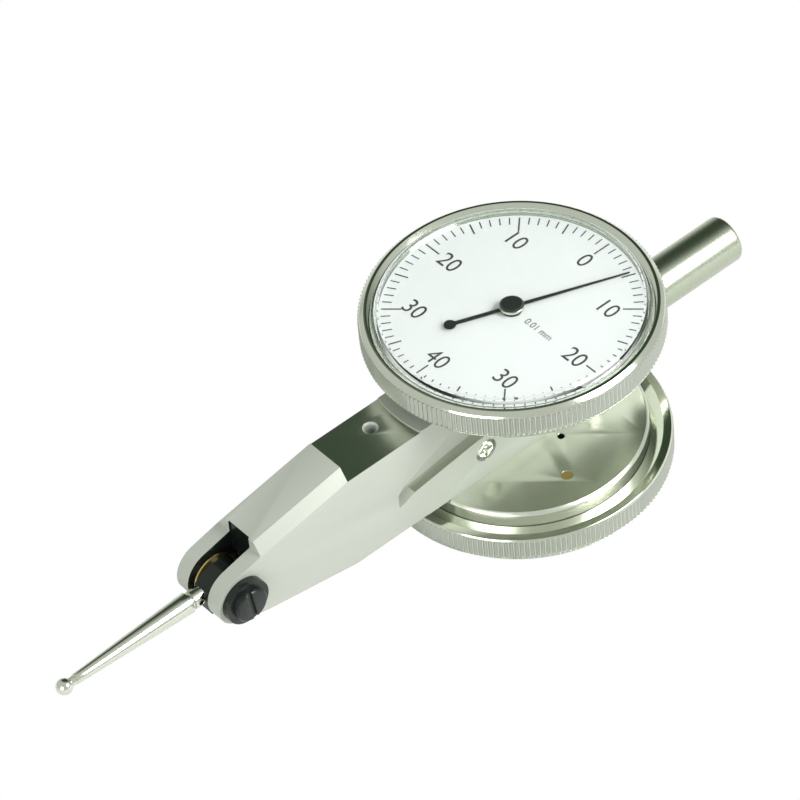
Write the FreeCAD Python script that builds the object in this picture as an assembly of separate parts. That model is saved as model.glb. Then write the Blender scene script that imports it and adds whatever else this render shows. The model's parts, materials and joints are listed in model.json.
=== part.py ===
"""Twin-dial lever test indicator, 0.01 mm reading, one turn for 0.8 mm of stylus travel.

Frame: +X runs out along the clamping stem, +Z is the axis of the upper dial, and the origin is the
middle of the stem's cylindrical wall. Everything is drawn about the dial axis and moved at export.
The lower dial unit is the upper one turned over about the X axis.
"""
import FreeCAD, Part
import math
import os

Vec = FreeCAD.Vector
X_AXIS = Vec(1, 0, 0)
Y_AXIS = Vec(0, 1, 0)
Z_AXIS = Vec(0, 0, 1)

# ---------------------------------------------------------------- driving dimensions, millimetres
# Clearances
RUNNING = 0.04            # radial gap of a shaft in its bearing
SEAT = 0.02               # radial gap of a fixed piece in its seat
END_SHAKE = 0.10          # axial gap at each shoulder of a turning piece
SLIDE_GAP = 0.10          # radial gap between bezel and case
DIAL_GAP = 0.05           # radial gap of the dial in the bezel

# Screws: slot of the small ones
SCREW_SLOT_WIDTH = 0.3
SCREW_SLOT_DEPTH = 0.2

# Clamping stem
STEM_DIA = 6.0
STEM_LENGTH = 17.1
STEM_END_ROUND = 0.5
SPIGOT_DIA = 4.0
SPIGOT_LENGTH = 4.5

# Body: a flat block between the dials that runs forward as a tapering arm
BODY_WIDTH = 7.6
BLOCK_END_X = 16.5        # rear face of the block
BLOCK_HEIGHT = 14.0       # between the two dial cases
BLOCK_PAD_RADIUS = 18.2   # the full-height pad under the dials
NECK_HEIGHT = 13.7
NECK_BOTTOM_DEPTH = 6.95
ARM_REAR_X = -28.8        # rear end of the raised wedge
ARM_FRONT_X = -42.0       # front end of the raised wedge
ARM_FRONT_TOP = 4.4       # height of the side face at the wedge's front end
ARM_FRONT_BOTTOM = 4.6    # depth of the side face there
RIDGE_RISE = 1.6          # the wedge above the side face
RIDGE_INSET = 1.15        # how far the wedge's top stands in from the side face

# Stylus pivot between the arm's two ears
PIVOT_X = -45.2
EAR_RADIUS = 3.5
SLOT_WIDTH = 3.6
SLOT_REAR_X = -41.85
PIVOT_HEAD_DIA = 5.9
PIVOT_NEAR_HEIGHT = 1.05  # head on the near ear, which also carries a slotted boss
PIVOT_FAR_HEIGHT = 0.5
PIVOT_HEAD_CHAMFER = 0.15
PIVOT_BOSS_DIA = 4.3
PIVOT_BOSS_HEIGHT = 0.8
PIVOT_SLOT_WIDTH = 0.6
PIVOT_SLOT_DEPTH = 0.35
PIVOT_SLOT_ANGLE = 97.0
PIVOT_SHANK_DIA = 3.0
PIVOT_PIN_DIA = 1.2
PIVOT_PIN_REACH = 0.8     # how far from the middle plane each pin stops

# Clamping groove and rail along the near side of the block
GROOVE_DEPTH = 1.4
RAIL_NOSE_X = -20.9
RAIL_TOP_FRONT = -1.9
RAIL_TOP_REAR = -0.3
RAIL_NOSE_LENGTH = 1.4    # the nose's bevel along the rail
RAIL_NOSE_DROP = 0.7      # and down from the rail's top
RAIL_BEND_X = -9.9        # where the rail's top turns level
RAIL_BEND_DROP = 0.3
GROOVE_FRONT_X = -21.9
GROOVE_FRONT_DROP = 0.9   # the front end's foot below the rail's top
GROOVE_FRONT_RISE = 1.1   # the front end's head above it
GROOVE_SHOULDER_X = -21.3
GROOVE_SHOULDER_RISE = 1.9
GROOVE_END_SLOPE_X = -3.6  # where the groove's upper edge reaches the top of the block
SIDE_SCREW_X = 8.5
SIDE_SCREW_Z = -3.0
SIDE_SCREW_HEAD_DIA = 2.5
SIDE_SCREW_SEAT_DIA = 3.1
SIDE_SCREW_SEAT_DEPTH = 0.75
SIDE_SCREW_HEAD_HEIGHT = 0.7
SIDE_SCREW_SHANK_DIA = 1.2
SIDE_SCREW_LENGTH = 1.5
SIDE_SCREW_BEVEL = 0.22
SIDE_SCREW_CROSS = 1.9    # length of the cross recess's bars
SIDE_SCREW_CROSS_WIDTH = 0.4
SIDE_SCREW_CROSS_DEPTH = 0.35

# Hole with its set screw on top of the neck
NECK_HOLE_X = -21.4
NECK_HOLE_Y = 0.9
NECK_HOLE_DIA = 1.5
NECK_HOLE_DEPTH = 3.2
NECK_HOLE_CHAMFER = 0.2
NECK_SCREW_LENGTH = 1.6
NECK_SCREW_CHAMFER = 0.1

# Dial case: a shallow cup whose floor rests on the block
CASE_RADIUS = 15.2
CASE_WALL = 0.8
CASE_FLOOR = 0.8
CASE_DEPTH = 3.85
CASE_EDGE = 0.35
CASE_FLANGE_WIDTH = 0.8
CASE_FLANGE_HEIGHT = 0.5
CASE_HOLE_DIA = 0.9
CASE_HOLE_XY = (1.6, 5.3)
CASE_PIN_DIA = 1.4
CASE_PIN_INSET = 4.5      # from the case's wall
CASE_PIN_ANGLE = 101.3
CASE_SCREW_X = 9.6
CASE_SCREW_HEAD_DIA = 2.0
CASE_SCREW_SHANK_DIA = 1.0
CASE_SCREW_LENGTH = 2.4

# Bezel that turns on the case and carries the dial and the crystal
BEZEL_WALL = 1.9          # bore to the knurl's tips
BEZEL_GAP = 1.7           # bezel's rear face above the block
BEZEL_HEIGHT = 3.8
BEZEL_REAR_FLAT = 1.2     # width of the rear face
BEZEL_REAR_BEVEL = 0.3
KNURL_COUNT = 144
KNURL_DEPTH = 0.25
KNURL_TOP_DROP = 0.6      # knurled band stops this far below the rim
KNURL_STEP = 0.15
BEZEL_CREST = 1.0         # bore to the rim's highest line
BEZEL_MOUTH_CHAMFER = 0.3
NOTCH_ANGLE = 52.0
NOTCH_WIDTH = 0.9
NOTCH_LENGTH = 0.8
NOTCH_DEPTH = 0.5

# Dial, crystal and the wire friction spring under the dial
DIAL_THICKNESS = 0.25
DIAL_HOLE_DIA = 2.6
DIAL_SEAT_GAP = 0.35      # room for the friction spring between case and dial
SPRING_WIRE = 0.25
SPRING_SIDES = 12
CRYSTAL_SKIRT_WALL = 0.45
CRYSTAL_THICKNESS = 0.4
CRYSTAL_RISE = 0.45       # crystal above the bezel's rim
CRYSTAL_BEVEL = 0.6

# Centre arbor with its two pointers
ARBOR_DIA = 1.1
ARBOR_PIVOT_DIA = 0.8     # outside the shoulders that bear on the bushes
BUSH_DIA = 2.0
POINTER_ANGLE = -22.2     # rest reading, about five divisions from zero
POINTER_TIP_INSET = 1.45  # from the dial's edge
POINTER_TAIL = 7.6
POINTER_TAIL_DISC_DIA = 1.45
POINTER_WIDTH = 0.5
POINTER_TIP_WIDTH = 0.16
POINTER_THICKNESS = 0.12
POINTER_LIFT = 0.35       # pointer above the dial face
POINTER_HUB_DIA = 2.4
BOSS_DIA = 3.0
BOSS_HEIGHT = 0.33
CAP_DIA = 2.5
CAP_HEIGHT = 0.2
CAP_CHAMFER = 0.06

# Train: centre pinion, crown wheel, crown pinion and the toothed sector of the lever
CENTRE_PINION_TEETH = 12
CROWN_TEETH = 72
CROWN_MODULE = 0.14
CROWN_FACE = 0.8          # radial width of the crown's teeth
CROWN_DISC = 0.45
CROWN_RIM = 0.1           # disc beyond the teeth
CROWN_WINDOWS = 5
CROWN_HUB_RADIUS = 1.4
CROWN_RING_RADIUS = 4.2
CROWN_SPOKE = 0.7
CROWN_ARBOR_DIA = 1.0
CROWN_PIVOT_DIA = 0.5
CENTRE_PINION_LENGTH = 1.3
CROWN_PINION_TEETH = 12
SECTOR_RATIO = 30         # sector teeth in a full circle over crown pinion teeth
SECTOR_TEETH = 9
SECTOR_THICKNESS = 0.45
CROWN_PINION_LENGTH = 0.7
TOOTH_FILL = 0.44         # tooth thickness over pitch
TOOTH_SPREAD = 0.18       # the root's extra thickness over pitch
TOOTH_TAPER = 0.2         # the tip's lost thickness over pitch
ADDENDUM = 0.8            # tooth above the pitch circle, in modules
DEDENDUM = 1.25           # and below it

# Train chamber in the block, bridge and side cover
CHAMBER_RADIUS = 5.95
CHAMBER_NEAR_Y = 1.3      # depth of the chamber on the near side of the middle plane
BRIDGE_SEAT_Y = 1.7
BRIDGE_THICKNESS = 0.4
BRIDGE_END_X = 9.0
BRIDGE_HALF_HEIGHT = 2.8
BRIDGE_EYE_RADIUS = 1.6
BRIDGE_SCREW_X = 7.7
BRIDGE_SCREW_Z = 1.8
BRIDGE_SCREW_HEAD_DIA = 1.4
BRIDGE_SCREW_SHANK_DIA = 0.8
BRIDGE_SCREW_LENGTH = 1.5
JEWEL_DIA = 1.6
COVER_JEWEL_DIA = 1.2
COVER_JEWEL_DEPTH = 0.45
COVER_THICKNESS = 0.8
COVER_DISC_RADIUS = 6.5
COVER_BAR_HALF_HEIGHT = 3.0
COVER_FRONT_X = -38.0
COVER_REAR_X = 12.5
COVER_SCREW_HEAD_DIA = 1.5
COVER_SCREW_SHANK_DIA = 0.7
COVER_SCREW_LENGTH = 1.6
COVER_END_SCREW_INSET = 1.6
COVER_SIDE_SCREW_X = -14.0
COVER_SIDE_SCREW_Z = 2.1
CHANNEL_HALF_HEIGHT = 1.65
CHANNEL_NEAR_Y = 0.95
TUNNEL_REAR_X = -34.0
TUNNEL_HALF_HEIGHT = 1.4

# Lever, its hub in the ears, and the stylus holder that swivels on the hub
LEVER_HUB_DIA = 2.9
LEVER_FLANGE_DIA = 4.6
LEVER_ARM_HALF_HEIGHT = 0.8
LEVER_JOGGLE_X = -32.5
LEVER_JOGGLE_LENGTH = 2.0
WASHER_THICKNESS = 0.2
WASHER_DIA = 6.0
HOLDER_DIA = 5.3
HOLDER_NOSE_X = 3.05      # front face of the holder ahead of the pivot
HOLDER_NOSE_BOTTOM = 2.1  # depth of the front face below the pivot
HOLDER_NOSE_TOP = 0.95
HOLDER_FACET_X = 2.1      # corner between the two facets above the front face
HOLDER_FACET_Z = 1.8
HOLDER_ROUND_X = 0.6      # where the facets run out into the round
LAYER_GAP = 0.02          # between the holder, the washer and the lever's flange

# Stylus with its ball
STYLUS_REACH = 22.92      # pivot axis to ball centre: 0.8 mm of travel turns the pointer once
BALL_DIA = 2.0
STYLUS_NECK_DIA = 1.1
STYLUS_TIP_DIA = 1.3
STYLUS_ROOT_DIA = 2.6
STYLUS_COLLAR_DIA = 2.3
STYLUS_GROOVE_DIA = 1.8
STYLUS_COLLAR_LENGTH = 1.5
STYLUS_GROOVE_LENGTH = 0.4
STYLUS_NECK_LENGTH = 0.5
STYLUS_SPIGOT_LENGTH = 0.6  # how far the neck plugs into the ball
STYLUS_THREAD_DIA = 1.4
STYLUS_THREAD_LENGTH = 1.3
STYLUS_CROSS_HOLE_DIA = 0.7

# Hairspring in the lower dial case
HAIRSPRING_TURNS = 2.5
HAIRSPRING_STRIP = 0.1
HAIRSPRING_HEIGHT = 0.35
HAIRSPRING_LIFT = 1.4     # spring's middle above the case floor
HAIRSPRING_PITCH = 0.75
COLLET_DIA = 2.4
COLLET_HEIGHT = 0.8
STUD_DIA = 1.0
STUD_HEIGHT = 1.9

# ---------------------------------------------------------------- places that follow from them
HALF_WIDTH = BODY_WIDTH / 2
PLATE_Z = BLOCK_HEIGHT / 2
NECK_TOP = NECK_HEIGHT / 2
SLOT_HALF = SLOT_WIDTH / 2
STEM_END_X = BLOCK_END_X + STEM_LENGTH
ORIGIN_X = BLOCK_END_X + (STEM_LENGTH - STEM_END_ROUND) / 2
CASE_FLANGE_RADIUS = CASE_RADIUS + CASE_FLANGE_WIDTH
BEZEL_BORE = CASE_FLANGE_RADIUS + SLIDE_GAP
BEZEL_RADIUS = BEZEL_BORE + BEZEL_WALL
BEZEL_CREST_RADIUS = BEZEL_BORE + BEZEL_CREST
DIAL_RADIUS = BEZEL_BORE - DIAL_GAP
POINTER_TIP = DIAL_RADIUS - POINTER_TIP_INSET
BEZEL_REAR_Z = PLATE_Z + BEZEL_GAP
BEZEL_RIM_Z = BEZEL_REAR_Z + BEZEL_HEIGHT
CASE_TOP_Z = PLATE_Z + CASE_DEPTH
CASE_FLOOR_Z = PLATE_Z + CASE_FLOOR
FLANGE_SEAT_Z = CASE_TOP_Z - CASE_FLANGE_HEIGHT
DIAL_BACK_Z = CASE_TOP_Z + DIAL_SEAT_GAP
DIAL_FACE_Z = DIAL_BACK_Z + DIAL_THICKNESS
CRYSTAL_TOP_Z = BEZEL_RIM_Z + CRYSTAL_RISE
POINTER_Z = DIAL_FACE_Z + POINTER_LIFT
BOSS_Z = POINTER_Z + POINTER_THICKNESS
CAP_Z = BOSS_Z + BOSS_HEIGHT

CENTRE_PINION_RADIUS = CENTRE_PINION_TEETH * CROWN_MODULE / 2
CROWN_RADIUS = CROWN_TEETH * CROWN_MODULE / 2
CROWN_TOOTH_TIP_Y = CENTRE_PINION_RADIUS - CROWN_MODULE
CROWN_DISC_Y = CENTRE_PINION_RADIUS + DEDENDUM * CROWN_MODULE
CROWN_BACK_Y = CROWN_DISC_Y + CROWN_DISC
SECTOR_MODULE = -2 * PIVOT_X / (CROWN_PINION_TEETH * (SECTOR_RATIO + 1))
CROWN_PINION_RADIUS = CROWN_PINION_TEETH * SECTOR_MODULE / 2
SECTOR_RADIUS = CROWN_PINION_RADIUS * SECTOR_RATIO
BRIDGE_TOP_Y = BRIDGE_SEAT_Y + BRIDGE_THICKNESS
CROWN_PINION_Y = BRIDGE_TOP_Y + END_SHAKE
COVER_SEAT_Y = HALF_WIDTH - COVER_THICKNESS
SECTOR_Y = CROWN_PINION_Y + (CROWN_PINION_LENGTH - SECTOR_THICKNESS) / 2

HUB_HALF_LENGTH = SLOT_HALF - END_SHAKE
FLANGE_Y = HUB_HALF_LENGTH - SECTOR_THICKNESS
WASHER_Y = FLANGE_Y - LAYER_GAP - WASHER_THICKNESS
HOLDER_FAR_Y = WASHER_Y - LAYER_GAP
BALL_X = PIVOT_X - STYLUS_REACH


# ---------------------------------------------------------------- shape helpers
def polar(radius, angle):
    """Point in the XY plane at an angle in radians."""
    return (radius * math.cos(angle), radius * math.sin(angle))


def cylinder(diameter, start, end):
    """Solid cylinder between two points."""
    line = end - start
    return Part.makeCylinder(diameter / 2, line.Length, start, line)


def cylinder_y(diameter, x, z, y0, y1):
    """Cylinder along Y."""
    return cylinder(diameter, Vec(x, y0, z), Vec(x, y1, z))


def cylinder_z(diameter, x, y, z0, z1):
    """Cylinder along Z."""
    return cylinder(diameter, Vec(x, y, z0), Vec(x, y, z1))


def cone_z(dia0, dia1, x, y, z0, z1):
    """Frustum along Z."""
    return Part.makeCone(dia0 / 2, dia1 / 2, z1 - z0, Vec(x, y, z0), Z_AXIS)


def block(x0, x1, y0, y1, z0, z1):
    """Box between two corners."""
    return Part.makeBox(x1 - x0, y1 - y0, z1 - z0, Vec(x0, y0, z0))


def face_of(points):
    """Planar face inside a closed polygon."""
    return Part.Face(Part.makePolygon(points + points[:1]))


def prism_y(outline, y0, y1):
    """Polygon of (x, z) pairs, extruded along Y."""
    return face_of([Vec(x, y0, z) for x, z in outline]).extrude(Vec(0, y1 - y0, 0))


def prism_z(outline, z0, z1):
    """Polygon of (x, y) pairs, extruded along Z."""
    return face_of([Vec(x, y, z0) for x, y in outline]).extrude(Vec(0, 0, z1 - z0))


def turned(profile):
    """Polygon of (radius, height) pairs, revolved about the Z axis."""
    return face_of([Vec(r, 0, z) for r, z in profile]).revolve(Vec(), Z_AXIS, 360)


def turned_x(profile):
    """Polygon of (x, radius) pairs, revolved about the X axis."""
    return face_of([Vec(x, 0, r) for x, r in profile]).revolve(Vec(), X_AXIS, 360)


def fused(first, *others):
    """Union of solids with no seams between them."""
    return first.fuse(list(others)).removeSplitter()


def rotated(shape, centre, axis, degrees):
    """Turned copy."""
    copy = shape.copy()
    copy.rotate(centre, axis, degrees)
    return copy


def moved(shape, x, y, z):
    """Shifted copy."""
    copy = shape.copy()
    copy.translate(Vec(x, y, z))
    return copy


def turned_over(shape):
    """The same piece in the lower dial unit."""
    return rotated(shape, Vec(), X_AXIS, 180)


def tangent_angle(x, z, radius):
    """Angle of the tangent point, on a circle about the pivot, of a line from (x, z)."""
    distance = math.hypot(x - PIVOT_X, z)
    return math.atan2(z, x - PIVOT_X) + math.copysign(math.acos(radius / distance), z)


def slotted_head(diameter, height, slot_width, slot_depth, chamfer):
    """Screw head on the XY plane, slotted across its top."""
    head = turned([(0, 0), (diameter / 2, 0), (diameter / 2, height - chamfer),
                   (diameter / 2 - chamfer, height), (0, height)])
    reach = diameter
    slot = block(-reach, reach, -slot_width / 2, slot_width / 2, height - slot_depth, height + 1)
    return head.cut(slot)


def countersunk_screw(head_dia, shank_dia, length):
    """Slotted countersunk screw, its head's top on the XY plane."""
    head = (head_dia - shank_dia) / 2
    screw = turned([(0, 0), (head_dia / 2, 0), (shank_dia / 2, -head), (shank_dia / 2, -length),
                    (0, -length)])
    reach = head_dia
    slot = block(-reach, reach, -SCREW_SLOT_WIDTH / 2, SCREW_SLOT_WIDTH / 2, -SCREW_SLOT_DEPTH, 1)
    return screw.cut(slot)


def countersunk_hole(head_dia, shank_dia, depth):
    """Space of such a screw, with its seat's clearance, down to a depth."""
    head = (head_dia - shank_dia) / 2
    top = head_dia / 2 + SEAT
    shank = shank_dia / 2 + SEAT
    return turned([(0, 0), (top, 0), (shank, -head), (shank, -depth), (0, -depth)])


def stand_along_y(shape, x, y, z, outwards):
    """Move a piece drawn upwards along Z so that it points along +Y or -Y at a place."""
    return moved(rotated(shape, Vec(), X_AXIS, -90 if outwards > 0 else 90), x, y, z)


# ---------------------------------------------------------------- body
def arm_side_outline():
    """Side view of ears, arm, neck and block, as one outline with the ear's round end."""
    top_x, top_z = ARM_FRONT_X, ARM_FRONT_TOP
    low_x, low_z = ARM_FRONT_X, -ARM_FRONT_BOTTOM
    top_angle = tangent_angle(top_x, top_z, EAR_RADIUS)
    low_angle = tangent_angle(low_x, low_z, EAR_RADIUS)

    def on_ear(angle):
        x, z = polar(EAR_RADIUS, angle)
        return Vec(PIVOT_X + x, 0, z)

    corners = [on_ear(low_angle), Vec(low_x, 0, low_z), Vec(ARM_REAR_X, 0, -NECK_BOTTOM_DEPTH),
               Vec(BLOCK_END_X, 0, -NECK_BOTTOM_DEPTH), Vec(BLOCK_END_X, 0, NECK_TOP),
               Vec(ARM_REAR_X, 0, NECK_TOP), Vec(top_x, 0, top_z), on_ear(top_angle)]
    edges = [Part.makeLine(a, b) for a, b in zip(corners, corners[1:])]
    nose = Part.Arc(corners[-1], on_ear(math.pi), corners[0]).toShape()
    return Part.Face(Part.Wire(edges + [nose]))


def wedge():
    """Raised wedge on top of the arm, with steep bevels down to the side faces."""
    def section(x, side_top):
        top = side_top + RIDGE_RISE
        inner = HALF_WIDTH - RIDGE_INSET
        return Part.makePolygon([Vec(x, -HALF_WIDTH, side_top), Vec(x, -inner, top),
                                 Vec(x, inner, top), Vec(x, HALF_WIDTH, side_top),
                                 Vec(x, -HALF_WIDTH, side_top)])
    return Part.makeLoft([section(ARM_FRONT_X, ARM_FRONT_TOP), section(ARM_REAR_X, NECK_TOP)], True, True)


def block_pad():
    """Full-height part of the block, round at the front where the dials stand over it."""
    disc = cylinder_z(2 * BLOCK_PAD_RADIUS, 0, 0, -PLATE_Z, PLATE_Z)
    return disc.common(block(-BLOCK_PAD_RADIUS, BLOCK_END_X, -HALF_WIDTH, HALF_WIDTH, -PLATE_Z, PLATE_Z))


def groove_cut():
    """Groove of one depth above the rail on the near side, open at the rear and at the top."""
    floor_y = GROOVE_DEPTH - HALF_WIDTH
    outline = [(GROOVE_FRONT_X, RAIL_TOP_FRONT - GROOVE_FRONT_DROP),
               (RAIL_NOSE_X, RAIL_TOP_FRONT - RAIL_NOSE_DROP),
               (RAIL_NOSE_X + RAIL_NOSE_LENGTH, RAIL_TOP_FRONT),
               (RAIL_BEND_X, RAIL_TOP_REAR - RAIL_BEND_DROP), (SIDE_SCREW_X, RAIL_TOP_REAR),
               (BLOCK_END_X + 1, RAIL_TOP_REAR), (BLOCK_END_X + 1, PLATE_Z + 1),
               (GROOVE_END_SLOPE_X, PLATE_Z + 1), (GROOVE_SHOULDER_X, RAIL_TOP_FRONT + GROOVE_SHOULDER_RISE),
               (GROOVE_FRONT_X, RAIL_TOP_FRONT + GROOVE_FRONT_RISE)]
    return prism_y(outline, -HALF_WIDTH - 1, floor_y)


def cover_outline(margin, y0, y1):
    """Side cover's shape: a disc over the train and a bar with round ends over the lever."""
    half = COVER_BAR_HALF_HEIGHT + margin
    front = COVER_FRONT_X + COVER_BAR_HALF_HEIGHT
    rear = COVER_REAR_X - COVER_BAR_HALF_HEIGHT
    disc = cylinder_y(2 * (COVER_DISC_RADIUS + margin), 0, 0, y0, y1)
    bar = block(front, rear, y0, y1, -half, half)
    ends = [cylinder_y(2 * half, x, 0, y0, y1) for x in (front, rear)]
    return fused(disc, bar, *ends)


def body_cavity():
    """Slot between the ears, lever channel, train chamber and the seats above them."""
    over = HALF_WIDTH + 1
    slot = block(PIVOT_X - 2 * EAR_RADIUS, SLOT_REAR_X, -SLOT_HALF, SLOT_HALF, -PLATE_Z, PLATE_Z)
    tunnel = block(SLOT_REAR_X - 1, TUNNEL_REAR_X, CHANNEL_NEAR_Y, SLOT_HALF,
                   -TUNNEL_HALF_HEIGHT, TUNNEL_HALF_HEIGHT)
    channel = block(TUNNEL_REAR_X, 0, CHANNEL_NEAR_Y, COVER_SEAT_Y,
                    -CHANNEL_HALF_HEIGHT, CHANNEL_HALF_HEIGHT)
    chamber = cylinder_y(2 * CHAMBER_RADIUS, 0, 0, -CHAMBER_NEAR_Y, COVER_SEAT_Y)
    seat = block(0, BRIDGE_END_X + SEAT, BRIDGE_SEAT_Y, COVER_SEAT_Y,
                 -BRIDGE_HALF_HEIGHT - SEAT, BRIDGE_HALF_HEIGHT + SEAT)
    cover_seat = cover_outline(SEAT, COVER_SEAT_Y, over)
    arbor_hole = cylinder_z(BUSH_DIA, 0, 0, -PLATE_Z - 1, PLATE_Z + 1)
    spigot_hole = cylinder(SPIGOT_DIA + 2 * SEAT, Vec(BLOCK_END_X - SPIGOT_LENGTH, 0, 0),
                           Vec(BLOCK_END_X + 1, 0, 0))
    return [slot, tunnel, channel, chamber, seat, cover_seat, arbor_hole, spigot_hole]


def body_screw_holes():
    """Holes of every screw that threads into the body."""
    holes = []
    for side in (-1, 1):
        holes.append(cylinder_y(PIVOT_SHANK_DIA + 2 * SEAT, PIVOT_X, 0, 0, side * (HALF_WIDTH + 1)))
        x = side * SIDE_SCREW_X
        holes.append(cylinder_y(SIDE_SCREW_SEAT_DIA, x, SIDE_SCREW_Z,
                                SIDE_SCREW_SEAT_DEPTH - HALF_WIDTH, -HALF_WIDTH - 1))
        bottom = SIDE_SCREW_SEAT_DEPTH + SIDE_SCREW_LENGTH - HALF_WIDTH
        holes.append(cylinder_y(SIDE_SCREW_SHANK_DIA, x, SIDE_SCREW_Z, -HALF_WIDTH, bottom))
        holes.append(cylinder_y(BRIDGE_SCREW_SHANK_DIA, BRIDGE_SCREW_X, side * BRIDGE_SCREW_Z,
                                BRIDGE_TOP_Y, BRIDGE_TOP_Y - BRIDGE_SCREW_LENGTH))
        depth = CASE_SCREW_LENGTH - CASE_FLOOR
        for x in (-CASE_SCREW_X, CASE_SCREW_X):
            holes.append(cylinder_z(CASE_SCREW_SHANK_DIA, x, 0, side * (PLATE_Z - depth), side * PLATE_Z))
    for x, z in cover_screw_places():
        holes.append(cylinder_y(COVER_SCREW_SHANK_DIA, x, z, HALF_WIDTH - COVER_SCREW_LENGTH, HALF_WIDTH))
    mouth = cone_z(NECK_HOLE_DIA, NECK_HOLE_DIA + 4 * NECK_HOLE_CHAMFER, NECK_HOLE_X, NECK_HOLE_Y,
                   NECK_TOP - NECK_HOLE_CHAMFER, NECK_TOP + NECK_HOLE_CHAMFER)
    holes.append(cylinder_z(NECK_HOLE_DIA, NECK_HOLE_X, NECK_HOLE_Y, NECK_TOP - NECK_HOLE_DEPTH, NECK_TOP))
    holes.append(mouth)
    return holes


def body_frame():
    """Arm with its two ears, neck and block, hollowed for the lever and the train."""
    arm = arm_side_outline().extrude(Vec(0, BODY_WIDTH, 0))
    arm.translate(Vec(0, -HALF_WIDTH, 0))
    solid = fused(arm, wedge(), block_pad())
    return solid.cut([groove_cut()] + body_cavity() + body_screw_holes())


def stem():
    """Clamping stem with its spigot in the block and a rounded free end."""
    radius = STEM_DIA / 2
    edge = STEM_END_ROUND
    middle = edge * (1 - math.sqrt(0.5))
    return turned_x([(STEM_END_X, 0), (BLOCK_END_X - SPIGOT_LENGTH, 0),
                     (BLOCK_END_X - SPIGOT_LENGTH, SPIGOT_DIA / 2), (BLOCK_END_X, SPIGOT_DIA / 2),
                     (BLOCK_END_X, radius), (STEM_END_X - edge, radius),
                     (STEM_END_X - middle, radius - middle), (STEM_END_X, radius - edge)])


def pivot_screws():
    """Two black screws in the ears, each ending in the pin that the lever's hub turns on."""
    near = cylinder(PIVOT_HEAD_DIA, Vec(), Vec(0, 0, PIVOT_NEAR_HEIGHT))
    boss = slotted_head(PIVOT_BOSS_DIA, PIVOT_BOSS_HEIGHT, PIVOT_SLOT_WIDTH, PIVOT_SLOT_DEPTH,
                        PIVOT_HEAD_CHAMFER)
    near = fused(near, moved(boss, 0, 0, PIVOT_NEAR_HEIGHT))
    far = slotted_head(PIVOT_HEAD_DIA, PIVOT_FAR_HEIGHT, PIVOT_SLOT_WIDTH, PIVOT_SLOT_DEPTH,
                       PIVOT_HEAD_CHAMFER)
    screws = []
    for side, head in ((-1, near), (1, far)):
        head = rotated(head, Vec(), Z_AXIS, PIVOT_SLOT_ANGLE)
        head = stand_along_y(head, PIVOT_X, side * HALF_WIDTH, 0, side)
        shank = cylinder_y(PIVOT_SHANK_DIA, PIVOT_X, 0, side * HALF_WIDTH, side * SLOT_HALF)
        pin = cylinder_y(PIVOT_PIN_DIA, PIVOT_X, 0, side * HALF_WIDTH, side * PIVOT_PIN_REACH)
        screws.append(fused(head, shank, pin))
    return Part.makeCompound(screws)


def side_screws():
    """Two cross-head screws sunk in the near side's rail."""
    radius = SIDE_SCREW_HEAD_DIA / 2
    top = SIDE_SCREW_HEAD_HEIGHT
    half = SIDE_SCREW_CROSS / 2
    half_width = SIDE_SCREW_CROSS_WIDTH / 2
    head = turned([(0, 0), (radius, 0), (radius, top - SIDE_SCREW_BEVEL), (radius - SIDE_SCREW_BEVEL, top),
                   (0, top)])
    shank = cylinder_z(SIDE_SCREW_SHANK_DIA, 0, 0, -SIDE_SCREW_LENGTH, 0)
    bar = block(-half, half, -half_width, half_width, top - SIDE_SCREW_CROSS_DEPTH, top + 1)
    screw = fused(head, shank).cut([bar, rotated(bar, Vec(), Z_AXIS, 90)])
    floor = SIDE_SCREW_SEAT_DEPTH - HALF_WIDTH
    return Part.makeCompound([stand_along_y(screw, side * SIDE_SCREW_X, floor, SIDE_SCREW_Z, -1)
                              for side in (-1, 1)])


def neck_screw():
    """Set screw at the bottom of the hole in the neck."""
    bottom = NECK_TOP - NECK_HOLE_DEPTH
    screw = slotted_head(NECK_HOLE_DIA - 2 * SEAT, NECK_SCREW_LENGTH, SCREW_SLOT_WIDTH, SCREW_SLOT_DEPTH,
                         NECK_SCREW_CHAMFER)
    return moved(screw, NECK_HOLE_X, NECK_HOLE_Y, bottom)


# ---------------------------------------------------------------- side cover and bridge
def cover_screw_places():
    """Centres of the side cover's screws as (x, z)."""
    return [(COVER_FRONT_X + COVER_END_SCREW_INSET, 0), (COVER_SIDE_SCREW_X, COVER_SIDE_SCREW_Z),
            (COVER_REAR_X - COVER_END_SCREW_INSET, 0)]


def side_cover():
    """Cover of the train chamber and lever channel, flush in the far side."""
    plate = cover_outline(0, COVER_SEAT_Y, HALF_WIDTH)
    cuts = [cylinder_y(COVER_JEWEL_DIA + 2 * SEAT, 0, 0, COVER_SEAT_Y, COVER_SEAT_Y + COVER_JEWEL_DEPTH)]
    hole = countersunk_hole(COVER_SCREW_HEAD_DIA, COVER_SCREW_SHANK_DIA, COVER_SCREW_LENGTH)
    cuts += [stand_along_y(hole, x, HALF_WIDTH, z, 1) for x, z in cover_screw_places()]
    return plate.cut(cuts)


def cover_screws():
    """Slotted screws that hold the side cover."""
    screw = countersunk_screw(COVER_SCREW_HEAD_DIA, COVER_SCREW_SHANK_DIA, COVER_SCREW_LENGTH)
    return Part.makeCompound([stand_along_y(screw, x, HALF_WIDTH, z, 1) for x, z in cover_screw_places()])


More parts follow.
